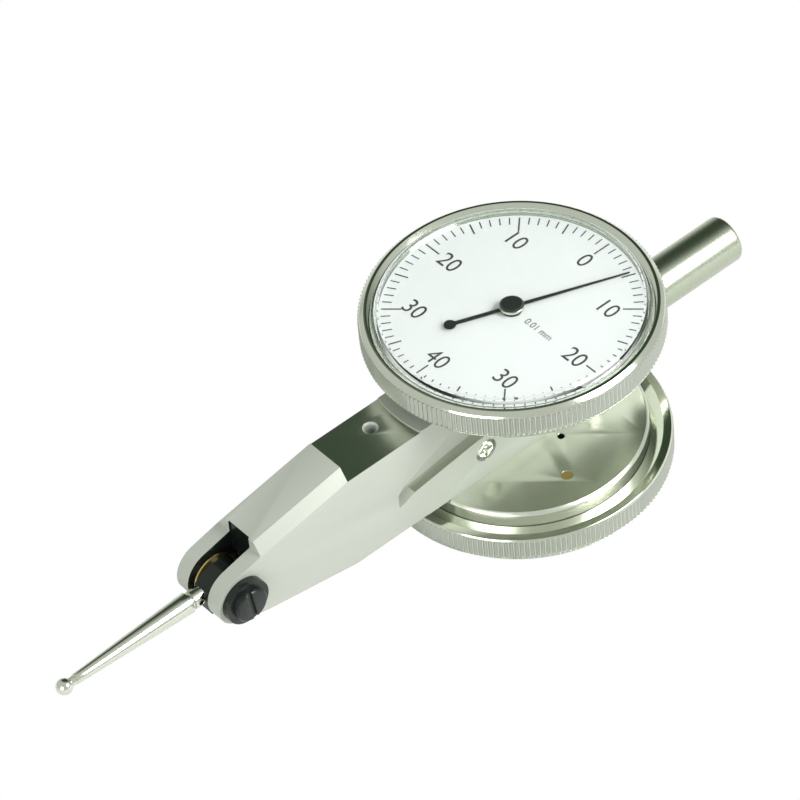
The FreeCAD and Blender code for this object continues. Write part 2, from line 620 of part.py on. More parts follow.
def train_bridge():
    """One-sided bridge that carries the crown wheel's inner bearing."""
    foot = block(CHAMBER_RADIUS, BRIDGE_END_X, BRIDGE_SEAT_Y, BRIDGE_TOP_Y,
                 -BRIDGE_HALF_HEIGHT, BRIDGE_HALF_HEIGHT)
    eye = cylinder_y(2 * BRIDGE_EYE_RADIUS, 0, 0, BRIDGE_SEAT_Y, BRIDGE_TOP_Y)
    web = prism_y([(0, -BRIDGE_EYE_RADIUS), (CHAMBER_RADIUS, -BRIDGE_HALF_HEIGHT),
                   (CHAMBER_RADIUS, BRIDGE_HALF_HEIGHT), (0, BRIDGE_EYE_RADIUS)], BRIDGE_SEAT_Y, BRIDGE_TOP_Y)
    jewel_hole = cylinder_y(JEWEL_DIA + 2 * SEAT, 0, 0, BRIDGE_SEAT_Y, BRIDGE_TOP_Y)
    hole = countersunk_hole(BRIDGE_SCREW_HEAD_DIA, BRIDGE_SCREW_SHANK_DIA, BRIDGE_THICKNESS)
    return fused(foot, eye, web).cut([jewel_hole] + at_bridge_screws(hole))


def at_bridge_screws(shape):
    """The same piece at both of the bridge's screws."""
    return [stand_along_y(shape, BRIDGE_SCREW_X, BRIDGE_TOP_Y, side * BRIDGE_SCREW_Z, 1) for side in (-1, 1)]


def bridge_screws():
    """Two screws of the bridge."""
    screw = countersunk_screw(BRIDGE_SCREW_HEAD_DIA, BRIDGE_SCREW_SHANK_DIA, BRIDGE_SCREW_LENGTH)
    return Part.makeCompound(at_bridge_screws(screw))


def crown_jewels():
    """Ring jewels of the crown wheel's arbor, one in the bridge and one in the cover."""
    inner = cylinder_y(JEWEL_DIA, 0, 0, BRIDGE_SEAT_Y, BRIDGE_TOP_Y)
    inner = inner.cut(cylinder_y(CROWN_ARBOR_DIA + 2 * RUNNING, 0, 0, BRIDGE_SEAT_Y, BRIDGE_TOP_Y))
    top = COVER_SEAT_Y + COVER_JEWEL_DEPTH
    outer = cylinder_y(COVER_JEWEL_DIA, 0, 0, COVER_SEAT_Y, top)
    outer = outer.cut(cylinder_y(CROWN_PIVOT_DIA + 2 * RUNNING, 0, 0, COVER_SEAT_Y, top))
    return Part.makeCompound([inner, outer])


# ---------------------------------------------------------------- dial unit, drawn for the upper dial
def case_pin_place():
    """Centre of the case's brass pin as (x, y)."""
    return polar(CASE_RADIUS - CASE_PIN_INSET, math.radians(CASE_PIN_ANGLE))


def case():
    """Shallow cup with a rounded rim against the block and a flange that keeps the bezel on."""
    inner = CASE_RADIUS - CASE_WALL
    cup = turned([(0, PLATE_Z), (CASE_RADIUS - CASE_EDGE, PLATE_Z), (CASE_RADIUS, PLATE_Z + CASE_EDGE),
                  (CASE_RADIUS, FLANGE_SEAT_Z), (CASE_FLANGE_RADIUS, FLANGE_SEAT_Z),
                  (CASE_FLANGE_RADIUS, CASE_TOP_Z), (inner, CASE_TOP_Z), (inner, CASE_FLOOR_Z),
                  (0, CASE_FLOOR_Z)])
    cuts = [cylinder_z(BUSH_DIA + 2 * SEAT, 0, 0, PLATE_Z, CASE_FLOOR_Z),
            cylinder_z(CASE_HOLE_DIA, *CASE_HOLE_XY, PLATE_Z, CASE_FLOOR_Z),
            cylinder_z(CASE_PIN_DIA + 2 * SEAT, *case_pin_place(), PLATE_Z, CASE_FLOOR_Z)]
    hole = countersunk_hole(CASE_SCREW_HEAD_DIA, CASE_SCREW_SHANK_DIA, CASE_FLOOR)
    return cup.cut(cuts + at_case_screws(hole))


def at_case_screws(shape):
    """The same piece at both of a case's screws."""
    return [moved(shape, x, 0, CASE_FLOOR_Z) for x in (-CASE_SCREW_X, CASE_SCREW_X)]


def case_screws():
    """Two screws that hold a case to the block."""
    screw = countersunk_screw(CASE_SCREW_HEAD_DIA, CASE_SCREW_SHANK_DIA, CASE_SCREW_LENGTH)
    return Part.makeCompound(at_case_screws(screw))


def case_pin():
    """Brass pin in the case floor."""
    return cylinder_z(CASE_PIN_DIA, *case_pin_place(), PLATE_Z, CASE_FLOOR_Z)


def centre_bush():
    """Brass bush of the centre arbor, in the case floor."""
    bush = cylinder_z(BUSH_DIA, 0, 0, PLATE_Z, CASE_FLOOR_Z)
    return bush.cut(cylinder_z(ARBOR_PIVOT_DIA + 2 * RUNNING, 0, 0, PLATE_Z, CASE_FLOOR_Z))


def knurled_disc():
    """Disc with straight V-shaped knurling round it."""
    step = math.pi / KNURL_COUNT
    root = BEZEL_RADIUS - KNURL_DEPTH
    outline = [polar(root if i % 2 else BEZEL_RADIUS, i * step) for i in range(2 * KNURL_COUNT)]
    return prism_z(outline, BEZEL_REAR_Z, BEZEL_RIM_Z - KNURL_TOP_DROP)


def bezel():
    """Knurled bezel: rear bevel, lip under the case's flange, bore for dial and crystal, crested rim."""
    shoulder = BEZEL_RADIUS - KNURL_DEPTH - KNURL_STEP
    knurl_top = BEZEL_RIM_Z - KNURL_TOP_DROP
    rim = turned([(0, knurl_top - BEZEL_HEIGHT / 4), (shoulder, knurl_top - BEZEL_HEIGHT / 4),
                  (shoulder, knurl_top), (BEZEL_CREST_RADIUS, BEZEL_RIM_Z), (0, BEZEL_RIM_Z)])
    lip = CASE_RADIUS + SLIDE_GAP
    lip_top = FLANGE_SEAT_Z - SLIDE_GAP
    rear_flat = BEZEL_RADIUS - BEZEL_REAR_FLAT
    inside = turned([(0, BEZEL_REAR_Z - 1), (rear_flat, BEZEL_REAR_Z - 1), (rear_flat, BEZEL_REAR_Z),
                     (lip, BEZEL_REAR_Z + BEZEL_REAR_BEVEL), (lip, lip_top), (BEZEL_BORE, lip_top),
                     (BEZEL_BORE, BEZEL_RIM_Z - BEZEL_MOUTH_CHAMFER),
                     (BEZEL_CREST_RADIUS, BEZEL_RIM_Z), (0, BEZEL_RIM_Z)])
    notch = block(rear_flat - NOTCH_LENGTH, rear_flat, -NOTCH_WIDTH / 2, NOTCH_WIDTH / 2,
                  BEZEL_REAR_Z - 1, BEZEL_REAR_Z + NOTCH_DEPTH)
    return fused(knurled_disc(), rim).cut([inside, rotated(notch, Vec(), Z_AXIS, NOTCH_ANGLE)])


def bezel_spring():
    """Many-sided wire spring between the case's flange and the dial; it steadies the bezel."""
    outer = CASE_FLANGE_RADIUS
    inner = outer - SPRING_WIRE / math.cos(math.pi / SPRING_SIDES)
    base = CASE_TOP_Z + (DIAL_SEAT_GAP - SPRING_WIRE) / 2

    def polygon(radius):
        outline = [polar(radius, 2 * math.pi * i / SPRING_SIDES) for i in range(SPRING_SIDES)]
        return prism_z(outline, base, base + SPRING_WIRE)
    return polygon(outer).cut(polygon(inner))


def dial():
    """Dial plate, a thin disc in the bezel's bore."""
    disc = cylinder_z(2 * DIAL_RADIUS, 0, 0, DIAL_BACK_Z, DIAL_FACE_Z)
    return disc.cut(cylinder_z(DIAL_HOLE_DIA, 0, 0, DIAL_BACK_Z, DIAL_FACE_Z))


def crystal():
    """Crystal: a flat window with a bevelled edge and a skirt that holds the dial down."""
    outer = BEZEL_BORE - SEAT
    inner = outer - CRYSTAL_SKIRT_WALL
    skirt = DIAL_FACE_Z + SEAT
    bevel_z = CRYSTAL_TOP_Z - CRYSTAL_BEVEL
    return turned([(inner, skirt), (outer, skirt), (outer, bevel_z), (outer - CRYSTAL_BEVEL, CRYSTAL_TOP_Z),
                   (0, CRYSTAL_TOP_Z), (0, CRYSTAL_TOP_Z - CRYSTAL_THICKNESS),
                   (inner, CRYSTAL_TOP_Z - CRYSTAL_THICKNESS)])


# ---------------------------------------------------------------- centre arbor and pointers
def centre_arbor():
    """Shaft through both dials, thinner outside the shoulders that bear on the two bushes."""
    shoulder = PLATE_Z - END_SHAKE
    thick = ARBOR_DIA / 2
    thin = ARBOR_PIVOT_DIA / 2
    return turned([(0, -CAP_Z), (thin, -CAP_Z), (thin, -shoulder), (thick, -shoulder), (thick, shoulder),
                   (thin, shoulder), (thin, CAP_Z), (0, CAP_Z)])


def pointer():
    """Pointer of the upper dial: tapered hand, hub, and a tail with a round end."""
    half = POINTER_WIDTH / 2
    tip_half = POINTER_TIP_WIDTH / 2
    hand = prism_z([(0, -half), (POINTER_TIP, -tip_half), (POINTER_TIP, tip_half), (0, half),
                    (-POINTER_TAIL, half), (-POINTER_TAIL, -half)], POINTER_Z, BOSS_Z)
    hub = cylinder_z(POINTER_HUB_DIA, 0, 0, POINTER_Z, BOSS_Z)
    tail = cylinder_z(POINTER_TAIL_DISC_DIA, -POINTER_TAIL, 0, POINTER_Z, BOSS_Z)
    return fused(hand, hub, tail).cut(cylinder_z(ARBOR_PIVOT_DIA, 0, 0, POINTER_Z, BOSS_Z))


def pointer_boss():
    """Bright boss that presses the pointer on the arbor."""
    boss = cylinder_z(BOSS_DIA, 0, 0, BOSS_Z, CAP_Z)
    return boss.cut(cylinder_z(ARBOR_PIVOT_DIA, 0, 0, BOSS_Z, CAP_Z))


def pointer_cap():
    """Black cap on the boss."""
    radius = CAP_DIA / 2
    top = CAP_Z + CAP_HEIGHT
    return turned([(0, CAP_Z), (radius, CAP_Z), (radius, top - CAP_CHAMFER),
                   (radius - CAP_CHAMFER, top), (0, top)])


def at_reading(shape, over):
    """Turn a pointer to its reading at rest, on the upper or the lower dial."""
    side = turned_over(shape) if over else shape
    return rotated(side, Vec(), Z_AXIS, POINTER_ANGLE)


# ---------------------------------------------------------------- gear train
def tooth_points(middle, pitch, radius, module):
    """Root, tip, tip and root of one straight-flanked tooth, its middle and pitch given as angles."""
    root_half = pitch * (TOOTH_FILL + TOOTH_SPREAD) / 2
    tip_half = pitch * (TOOTH_FILL - TOOTH_TAPER) / 2
    root = radius - DEDENDUM * module
    tip = radius + ADDENDUM * module
    return [polar(root, middle - root_half), polar(tip, middle - tip_half),
            polar(tip, middle + tip_half), polar(root, middle + root_half)]


def tooth_outline(teeth, radius, module, phase):
    """Outline of an external gear with straight-flanked teeth, as (u, v) pairs."""
    pitch = 2 * math.pi / teeth
    outline = []
    for i in range(teeth):
        outline += tooth_points(phase + i * pitch, pitch, radius, module)
    return outline


def centre_pinion():
    """Pinion on the centre arbor, in mesh with the crown wheel's teeth."""
    space_to_crown = math.pi / 2 + math.pi / CENTRE_PINION_TEETH
    outline = tooth_outline(CENTRE_PINION_TEETH, CENTRE_PINION_RADIUS, CROWN_MODULE, space_to_crown)
    middle = CROWN_RADIUS
    z0 = middle - CENTRE_PINION_LENGTH / 2
    z1 = middle + CENTRE_PINION_LENGTH / 2
    return prism_z(outline, z0, z1).cut(cylinder_z(ARBOR_DIA, 0, 0, z0, z1))


def crown_tooth():
    """One tooth of the crown wheel, standing towards the centre arbor at the top of the wheel."""
    pitch = math.pi * CROWN_MODULE
    root = pitch * (TOOTH_FILL + TOOTH_SPREAD) / 2
    tip = pitch * (TOOTH_FILL - TOOTH_TAPER) / 2
    inner = CROWN_RADIUS - CROWN_FACE / 2
    flank = [(-root, CROWN_DISC_Y), (-tip, CROWN_TOOTH_TIP_Y), (tip, CROWN_TOOTH_TIP_Y), (root, CROWN_DISC_Y)]
    return prism_z(flank, inner, inner + CROWN_FACE)


def crown_wheel():
    """Contrate wheel: a spoked disc with a ring of teeth standing on its face."""
    outer = CROWN_RADIUS + CROWN_FACE / 2 + CROWN_RIM
    disc = cylinder_y(2 * outer, 0, 0, CROWN_DISC_Y, CROWN_BACK_Y)
    hole = cylinder_y(CROWN_ARBOR_DIA, 0, 0, CROWN_DISC_Y, CROWN_BACK_Y)
    first = crown_tooth()
    teeth = [rotated(first, Vec(), Y_AXIS, 360.0 * i / CROWN_TEETH) for i in range(CROWN_TEETH)]
    return disc.cut(crown_windows() + [hole]).fuse(teeth)


def crown_windows():
    """Openings between the crown wheel's spokes."""
    half = math.pi / CROWN_WINDOWS
    inner = half - CROWN_SPOKE / 2 / CROWN_HUB_RADIUS
    outer = half - CROWN_SPOKE / 2 / CROWN_RING_RADIUS
    corners = [polar(CROWN_HUB_RADIUS, -inner), polar(CROWN_RING_RADIUS, -outer), (CROWN_RING_RADIUS, 0),
               polar(CROWN_RING_RADIUS, outer), polar(CROWN_HUB_RADIUS, inner)]
    window = prism_y(corners, CROWN_DISC_Y, CROWN_BACK_Y)
    return [rotated(window, Vec(), Y_AXIS, 360.0 * i / CROWN_WINDOWS) for i in range(CROWN_WINDOWS)]


def crown_arbor():
    """Crown wheel's arbor with its pinion and the pivot that runs in the cover."""
    outline = tooth_outline(CROWN_PINION_TEETH, CROWN_PINION_RADIUS, SECTOR_MODULE,
                            math.pi + math.pi / CROWN_PINION_TEETH)
    pinion = prism_y(outline, CROWN_PINION_Y, CROWN_PINION_Y + CROWN_PINION_LENGTH)
    shaft = cylinder_y(CROWN_ARBOR_DIA, 0, 0, CROWN_DISC_Y, CROWN_PINION_Y + CROWN_PINION_LENGTH)
    pivot = cylinder_y(CROWN_PIVOT_DIA, 0, 0, CROWN_PINION_Y, COVER_SEAT_Y + COVER_JEWEL_DEPTH - END_SHAKE)
    return fused(pinion, shaft, pivot)


# ---------------------------------------------------------------- lever and stylus
def sector_outline():
    """Side view of the lever's rear: arm, flare and toothed arc about the pivot."""
    pitch = 2 * math.pi / (CROWN_PINION_TEETH * SECTOR_RATIO)
    arc = []
    for i in range(SECTOR_TEETH):
        middle = (i - (SECTOR_TEETH - 1) / 2) * pitch
        for x, z in tooth_points(middle, pitch, SECTOR_RADIUS, SECTOR_MODULE):
            arc.append((PIVOT_X + x, z))
    neck_x = -CROWN_RADIUS
    half = LEVER_ARM_HALF_HEIGHT
    joggle_end = LEVER_JOGGLE_X + LEVER_JOGGLE_LENGTH
    return [(joggle_end, -half), (neck_x, -half)] + arc + [(neck_x, half), (joggle_end, half)]


def sector_lever():
    """Lever: flanged hub on the pivot pins, stepped arm and toothed sector."""
    hub = cylinder_y(LEVER_HUB_DIA, PIVOT_X, 0, -HUB_HALF_LENGTH, HUB_HALF_LENGTH)
    flange = cylinder_y(LEVER_FLANGE_DIA, PIVOT_X, 0, FLANGE_Y, HUB_HALF_LENGTH)
    joggle_end = LEVER_JOGGLE_X + LEVER_JOGGLE_LENGTH
    far = SECTOR_Y + SECTOR_THICKNESS
    step = prism_z([(PIVOT_X, FLANGE_Y), (LEVER_JOGGLE_X, FLANGE_Y), (joggle_end, SECTOR_Y),
                    (joggle_end, far), (LEVER_JOGGLE_X, HUB_HALF_LENGTH), (PIVOT_X, HUB_HALF_LENGTH)],
                   -LEVER_ARM_HALF_HEIGHT, LEVER_ARM_HALF_HEIGHT)
    sector = prism_y(sector_outline(), SECTOR_Y, far)
    bore = cylinder_y(PIVOT_PIN_DIA + 2 * RUNNING, PIVOT_X, 0, -SLOT_HALF, SLOT_HALF)
    return fused(hub, flange, step, sector).cut(bore)


def friction_washer():
    """Brass washer between the lever's flange and the stylus holder."""
    washer = cylinder_y(WASHER_DIA, PIVOT_X, 0, WASHER_Y, WASHER_Y + WASHER_THICKNESS)
    return washer.cut(cylinder_y(LEVER_HUB_DIA + 2 * SEAT, PIVOT_X, 0, WASHER_Y, FLANGE_Y))


def stylus_holder():
    """Black holder that swivels on the lever's hub, with two facets down to its flat nose."""
    nose_x = PIVOT_X - HOLDER_NOSE_X
    round_x = PIVOT_X - HOLDER_ROUND_X
    radius = HOLDER_DIA / 2
    round_z = math.sqrt(radius ** 2 - HOLDER_ROUND_X ** 2)
    disc = cylinder_y(HOLDER_DIA, PIVOT_X, 0, -HUB_HALF_LENGTH, HOLDER_FAR_Y)
    disc = disc.common(block(round_x, PIVOT_X + radius, -HALF_WIDTH, HALF_WIDTH, -radius, radius))
    nose = prism_y([(round_x, -round_z), (nose_x, -HOLDER_NOSE_BOTTOM), (nose_x, HOLDER_NOSE_TOP),
                    (PIVOT_X - HOLDER_FACET_X, HOLDER_FACET_Z), (round_x, round_z)],
                   -HUB_HALF_LENGTH, HOLDER_FAR_Y)
    hub_bore = cylinder_y(LEVER_HUB_DIA + 2 * RUNNING, PIVOT_X, 0, -SLOT_HALF, SLOT_HALF)
    thread = cylinder(STYLUS_THREAD_DIA + 2 * SEAT, Vec(nose_x, 0, 0), Vec(PIVOT_X, 0, 0))
    return fused(disc, nose).cut([hub_bore, thread])


def stylus_ball():
    """Contact ball with the socket that the stylus's neck plugs into."""
    ball = Part.makeSphere(BALL_DIA / 2, Vec(BALL_X, 0, 0))
    bottom = Vec(stylus_end_x() - SEAT, 0, 0)
    return ball.cut(cylinder(STYLUS_NECK_DIA + 2 * SEAT, bottom, Vec(BALL_X + BALL_DIA, 0, 0)))


def stylus_end_x():
    """End of the stylus's neck inside the ball."""
    return BALL_X + BALL_DIA / 2 - STYLUS_SPIGOT_LENGTH


def stylus():
    """Screwed-in stylus: thread, collar with its cross hole, groove, long taper and a fine neck."""
    nose_x = PIVOT_X - HOLDER_NOSE_X
    groove_x = nose_x - STYLUS_COLLAR_LENGTH
    taper_x = groove_x - STYLUS_GROOVE_LENGTH
    neck_x = BALL_X + BALL_DIA / 2 + STYLUS_NECK_LENGTH
    thread_end = nose_x + STYLUS_THREAD_LENGTH
    radii = [(thread_end, 0), (thread_end, STYLUS_THREAD_DIA / 2), (nose_x, STYLUS_THREAD_DIA / 2),
             (nose_x, STYLUS_COLLAR_DIA / 2), (groove_x, STYLUS_COLLAR_DIA / 2),
             (groove_x, STYLUS_GROOVE_DIA / 2), (taper_x, STYLUS_GROOVE_DIA / 2),
             (taper_x, STYLUS_ROOT_DIA / 2), (neck_x, STYLUS_TIP_DIA / 2), (neck_x, STYLUS_NECK_DIA / 2),
             (stylus_end_x(), STYLUS_NECK_DIA / 2), (stylus_end_x(), 0)]
    solid = turned_x(radii)
    cross = cylinder_y(STYLUS_CROSS_HOLE_DIA, nose_x - STYLUS_COLLAR_LENGTH / 2, 0,
                       -STYLUS_COLLAR_DIA, STYLUS_COLLAR_DIA)
    return solid.cut(cross)


# ---------------------------------------------------------------- hairspring, drawn for the upper case
def hairspring_radius():
    """Radius at which the hairspring ends in its stud."""
    return COLLET_DIA / 2 + HAIRSPRING_TURNS * HAIRSPRING_PITCH


def hairspring():
    """Flat spiral strip from the collet to the stud, as half-circle arcs that step outwards."""
    z = CASE_FLOOR_Z + HAIRSPRING_LIFT - HAIRSPRING_HEIGHT / 2
    halves = int(2 * HAIRSPRING_TURNS)
    step = HAIRSPRING_PITCH / 2
    start = COLLET_DIA / 2

    def spiral(offset):
        edges = []
        x_from = start + offset
        for i in range(halves):
            side = 1 if i % 2 == 0 else -1
            x_to = -side * (start + offset + (i + 1) * step)
            centre = (x_from + x_to) / 2
            bend = Vec(centre, side * abs(x_from - x_to) / 2, z)
            edges.append(Part.Arc(Vec(x_from, 0, z), bend, Vec(x_to, 0, z)).toShape())
            x_from = x_to
        return edges, x_from
    inner, inner_end = spiral(0)
    outer, outer_end = spiral(HAIRSPRING_STRIP)
    closing = [Part.makeLine(Vec(start, 0, z), Vec(start + HAIRSPRING_STRIP, 0, z)),
               Part.makeLine(Vec(inner_end, 0, z), Vec(outer_end, 0, z))]
    outline = Part.Wire(Part.__sortEdges__(inner + outer + closing))
    return Part.Face(outline).extrude(Vec(0, 0, HAIRSPRING_HEIGHT))


def hairspring_collet():
    """Brass collet that holds the hairspring's inner end on the arbor."""
    z0 = CASE_FLOOR_Z + HAIRSPRING_LIFT - COLLET_HEIGHT / 2
    collet = cylinder_z(COLLET_DIA, 0, 0, z0, z0 + COLLET_HEIGHT)
    return collet.cut(cylinder_z(ARBOR_PIVOT_DIA, 0, 0, z0, z0 + COLLET_HEIGHT))


def hairspring_stud():
    """Post on the case floor that holds the hairspring's outer end."""
    x = -(hairspring_radius() + HAIRSPRING_STRIP + STUD_DIA / 2)
    return cylinder_z(STUD_DIA, x, 0, CASE_FLOOR_Z, CASE_FLOOR_Z + STUD_HEIGHT)


# ---------------------------------------------------------------- the assembly
def fixed_pieces():
    """Pieces of the body and its movement."""
    return {
        "body_frame": body_frame(), "stem": stem(), "side_cover": side_cover(),
        "cover_screws": cover_screws(), "side_screws": side_screws(), "pivot_screws": pivot_screws(),
        "neck_screw": neck_screw(), "train_bridge": train_bridge(), "bridge_screws": bridge_screws(),
        "crown_jewels": crown_jewels(), "hairspring": turned_over(hairspring()),
        "hairspring_stud": turned_over(hairspring_stud()),
    }


def moving_pieces():
    """Pieces of the arbor, the train, the lever and the stylus."""
    return {
        "centre_arbor": centre_arbor(), "centre_pinion": centre_pinion(),
        "hairspring_collet": turned_over(hairspring_collet()),
        "crown_wheel": crown_wheel(), "crown_arbor": crown_arbor(),
        "sector_lever": sector_lever(), "friction_washer": friction_washer(),
        "stylus_holder": stylus_holder(), "stylus": stylus(), "stylus_ball": stylus_ball(),
    }


def dial_pieces():
    """Both dial units; the lower one is the upper one turned over."""
    unit = {"case": case(), "case_pin": case_pin(), "case_screws": case_screws(),
            "centre_bush": centre_bush(), "bezel_spring": bezel_spring(), "bezel": bezel(),
            "dial": dial(), "crystal": crystal()}
    hands = {"pointer": pointer(), "pointer_boss": pointer_boss(), "pointer_cap": pointer_cap()}
    pieces = {}
    for name, shape in unit.items():
        pieces["upper_" + name] = shape
        pieces["lower_" + name] = turned_over(shape)
    for name, shape in hands.items():
        pieces["upper_" + name] = at_reading(shape, False)
        pieces["lower_" + name] = at_reading(shape, True)
    return pieces


def main():
    """Write one STEP file for each piece."""
    os.makedirs("parts", exist_ok=True)
    pieces = {**fixed_pieces(), **moving_pieces(), **dial_pieces()}
    for name, shape in pieces.items():
        shape.translate(Vec(-ORIGIN_X, 0, 0))
        shape.exportStep("parts/" + name + ".step")


main()
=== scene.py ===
"""Looks of a twin-dial lever test indicator, built around its packed CAD frame.

The clamping stem lies along X, the dials face +Z and -Z, and the stylus swings about Y. Lengths inside
the builders are millimetres and become metres when a mesh is made.
"""
import json
import math
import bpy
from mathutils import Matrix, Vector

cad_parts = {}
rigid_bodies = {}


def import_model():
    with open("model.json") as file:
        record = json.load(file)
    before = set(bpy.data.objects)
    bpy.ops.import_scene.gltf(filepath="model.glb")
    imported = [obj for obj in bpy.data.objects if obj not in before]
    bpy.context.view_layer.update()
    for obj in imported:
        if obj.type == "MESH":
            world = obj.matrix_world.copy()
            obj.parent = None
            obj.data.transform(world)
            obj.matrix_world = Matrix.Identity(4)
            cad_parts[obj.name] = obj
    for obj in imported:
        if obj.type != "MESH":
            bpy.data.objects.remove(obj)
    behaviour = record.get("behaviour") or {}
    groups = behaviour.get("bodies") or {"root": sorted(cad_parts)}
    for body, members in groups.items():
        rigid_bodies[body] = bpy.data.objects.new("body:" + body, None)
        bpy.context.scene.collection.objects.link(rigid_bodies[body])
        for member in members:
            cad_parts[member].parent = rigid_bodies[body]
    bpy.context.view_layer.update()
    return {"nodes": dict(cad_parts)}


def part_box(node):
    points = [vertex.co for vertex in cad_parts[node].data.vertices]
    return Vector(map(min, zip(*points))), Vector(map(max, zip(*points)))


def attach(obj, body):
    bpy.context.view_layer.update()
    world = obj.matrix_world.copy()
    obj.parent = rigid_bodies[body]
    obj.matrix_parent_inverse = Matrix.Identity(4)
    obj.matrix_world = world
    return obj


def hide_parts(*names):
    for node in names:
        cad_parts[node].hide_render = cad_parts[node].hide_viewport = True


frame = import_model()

from types import SimpleNamespace

import bmesh
import bpy
from bpy.props import FloatProperty, FloatVectorProperty, IntProperty, PointerProperty
from mathutils import Matrix, Vector

bl_info = {
    "name": "Lever Test Indicator",
    "version": (1, 0, 0),
    "blender": (4, 5, 0),
    "location": "View3D > Sidebar > Indicator",
    "description": "Dresses a twin-dial lever test indicator with knurled bezels, dials, crystals and studio",
    "category": "Object",
}

MM = 0.001
PREFIX = "tdi_"
SIDES = {"upper": 1, "lower": -1}


# ---------------------------------------------------------------- places read from the frame
def extent(node, axis):
    """Lowest and highest coordinate of a CAD node along X, Y or Z, in millimetres."""
    low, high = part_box(node)
    return low[axis] / MM, high[axis] / MM


DIAL_X = sum(extent("centre_arbor", 0)) / 2
PIVOT_X = sum(extent("pivot_screws", 0)) / 2
HALF_WIDTH = extent("body_frame", 1)[1]
BEZEL_REAR, BEZEL_RIM = extent("upper_bezel", 2)
BEZEL_RADIUS = extent("upper_bezel", 1)[1]
DIAL_FACE = extent("upper_dial", 2)[1]
CRYSTAL_BASE, CRYSTAL_TOP = extent("upper_crystal", 2)
CRYSTAL_RADIUS = extent("upper_crystal", 1)[1]
CASE_BASE, CASE_TOP = extent("upper_case", 2)
FLANGE_RADIUS = extent("upper_case", 1)[1]

FLANGE_GAP = 0.1          # case's flange to the bezel's bore
FLANGE_DEPTH = 0.6        # case's top to the bezel's lip
LIP_WIDTH = 0.8
CREST_OFFSET = 1.0        # bezel's bore to the middle of its crest
CREST_HALF = 0.18
CRYSTAL_WALL = 0.45
CRYSTAL_THICKNESS = 0.4
CRYSTAL_BEVEL = 0.6
NECK_START = 16.0         # pivots to the neck's lapped flat
BOSS_BORE = 0.42
NUMERAL_SHIFT = 0.45      # further out at the two ends of the dial's X axis
NUMERAL_WIDTH = 0.92      # width of the letters against their height
UNIT_PLACE = -4.7
FLOOR_HALF = 3000.0
DARK_SIDE = Vector((0.62, 0.50, 0.60)).normalized()     # towards the room's dark green side
CAMERA_AZIMUTH = -36.2763
CAMERA_ELEVATION = 45.7961
CAMERA_ROLL = -6.16425
CAMERA_DISTANCE = 605.5422
CAMERA_SHIFT = (13.84641, 2.47759)                      # view's middle from the dial, right and up


# ---------------------------------------------------------------- sizes and colours a user may change
def length(label, text, value):
    """Length property; its default is given in millimetres and stored in metres."""
    return FloatProperty(name=label, description=text, default=value * MM, min=0.0, precision=5,
                         subtype="DISTANCE", unit="LENGTH")


def power(label, text, value):
    """Lamp power property in watts."""
    return FloatProperty(name=label, description=text, default=value, min=0.0, subtype="POWER", unit="POWER")


def colour(label, text, value):
    """Linear colour property."""
    return FloatVectorProperty(name=label, description=text, default=value, size=3, min=0.0, max=1.0,
                               subtype="COLOR")


class BezelSizes(bpy.types.PropertyGroup):
    """Sizes of the two knurled bezels"""
    knurls: IntProperty(name="Knurls", description="Ridges round one bezel", default=180, min=12)
    knurl_depth: length("Knurl depth", "Height of a ridge", 0.28)
    knurl_low: length("Knurl start", "Rear face to the knurling", 0.35)
    knurl_drop: length("Knurl end", "Knurling to the rim", 0.75)
    rim_round: length("Rim round", "Radius of the rim's edges", 0.16)
    mouth_depth: length("Mouth depth", "Depth of the polished slope inside the rim", 0.4)


class ScaleSizes(bpy.types.PropertyGroup):
    """Sizes of the printed scale"""
    divisions: IntProperty(name="Divisions", description="Ticks round the dial", default=80, min=10)
    tick_outer: length("Outer radius", "Outer end of every tick", 15.3)
    tick_short: length("Short tick", "Length of a single division", 1.15)
    tick_medium: length("Medium tick", "Length of every fifth tick", 1.75)
    tick_long: length("Long tick", "Length of every tenth tick", 2.4)
    tick_width: length("Tick width", "Width of a tick's line", 0.16)
    ink: length("Ink thickness", "Height of the print above the dial", 0.012)
    numeral_height: length("Numeral height", "Height of the numerals", 2.25)
    numeral_radius: length("Numeral radius", "Dial centre to a numeral's middle", 11.0)
    unit_height: length("Unit height", "Height of the unit mark", 0.95)


class Finishes(bpy.types.PropertyGroup):
    """Colours of the finishes"""
    satin: colour("Satin chrome", "Arm, block and knurling", (0.42, 0.445, 0.395))
    polished: colour("Polished chrome", "Rims, stylus and cases", (0.66, 0.69, 0.60))
    ground: colour("Ground steel", "Stem and lapped faces", (0.46, 0.50, 0.40))
    black: colour("Blackened steel", "Pivot screws and stylus holder", (0.010, 0.014, 0.012))
    brass: colour("Brass", "Washer, pins and gears", (0.62, 0.47, 0.17))
    dial: colour("Dial", "Dial faces", (0.60, 0.60, 0.61))
    ink: colour("Ink", "Ticks and numerals", (0.030, 0.033, 0.032))


class Studio(bpy.types.PropertyGroup):
    """Lamps, world and camera"""
    key: power("Key lamp", "Power of the large lamp", 2.6)
    fill: power("Fill lamp", "Power of the low lamp", 0.8)
    world: FloatProperty(name="World", description="Strength of the surroundings", default=0.85, min=0.0,
                         subtype="FACTOR")
    lens: FloatProperty(name="Lens", description="Focal length of the camera", default=231.716, min=1.0,
                        subtype="DISTANCE_CAMERA", unit="CAMERA")


GROUPS = {"tdi_bezel": BezelSizes, "tdi_scale": ScaleSizes, "tdi_finish": Finishes, "tdi_studio": Studio}


def in_millimetres(group):
    """A size group's values, with its lengths in millimetres and its counts as they are."""
    values = {}
    for name in type(group).__annotations__:
        value = getattr(group, name)
        values[name] = value / MM if isinstance(value, float) else value
    return SimpleNamespace(**values)


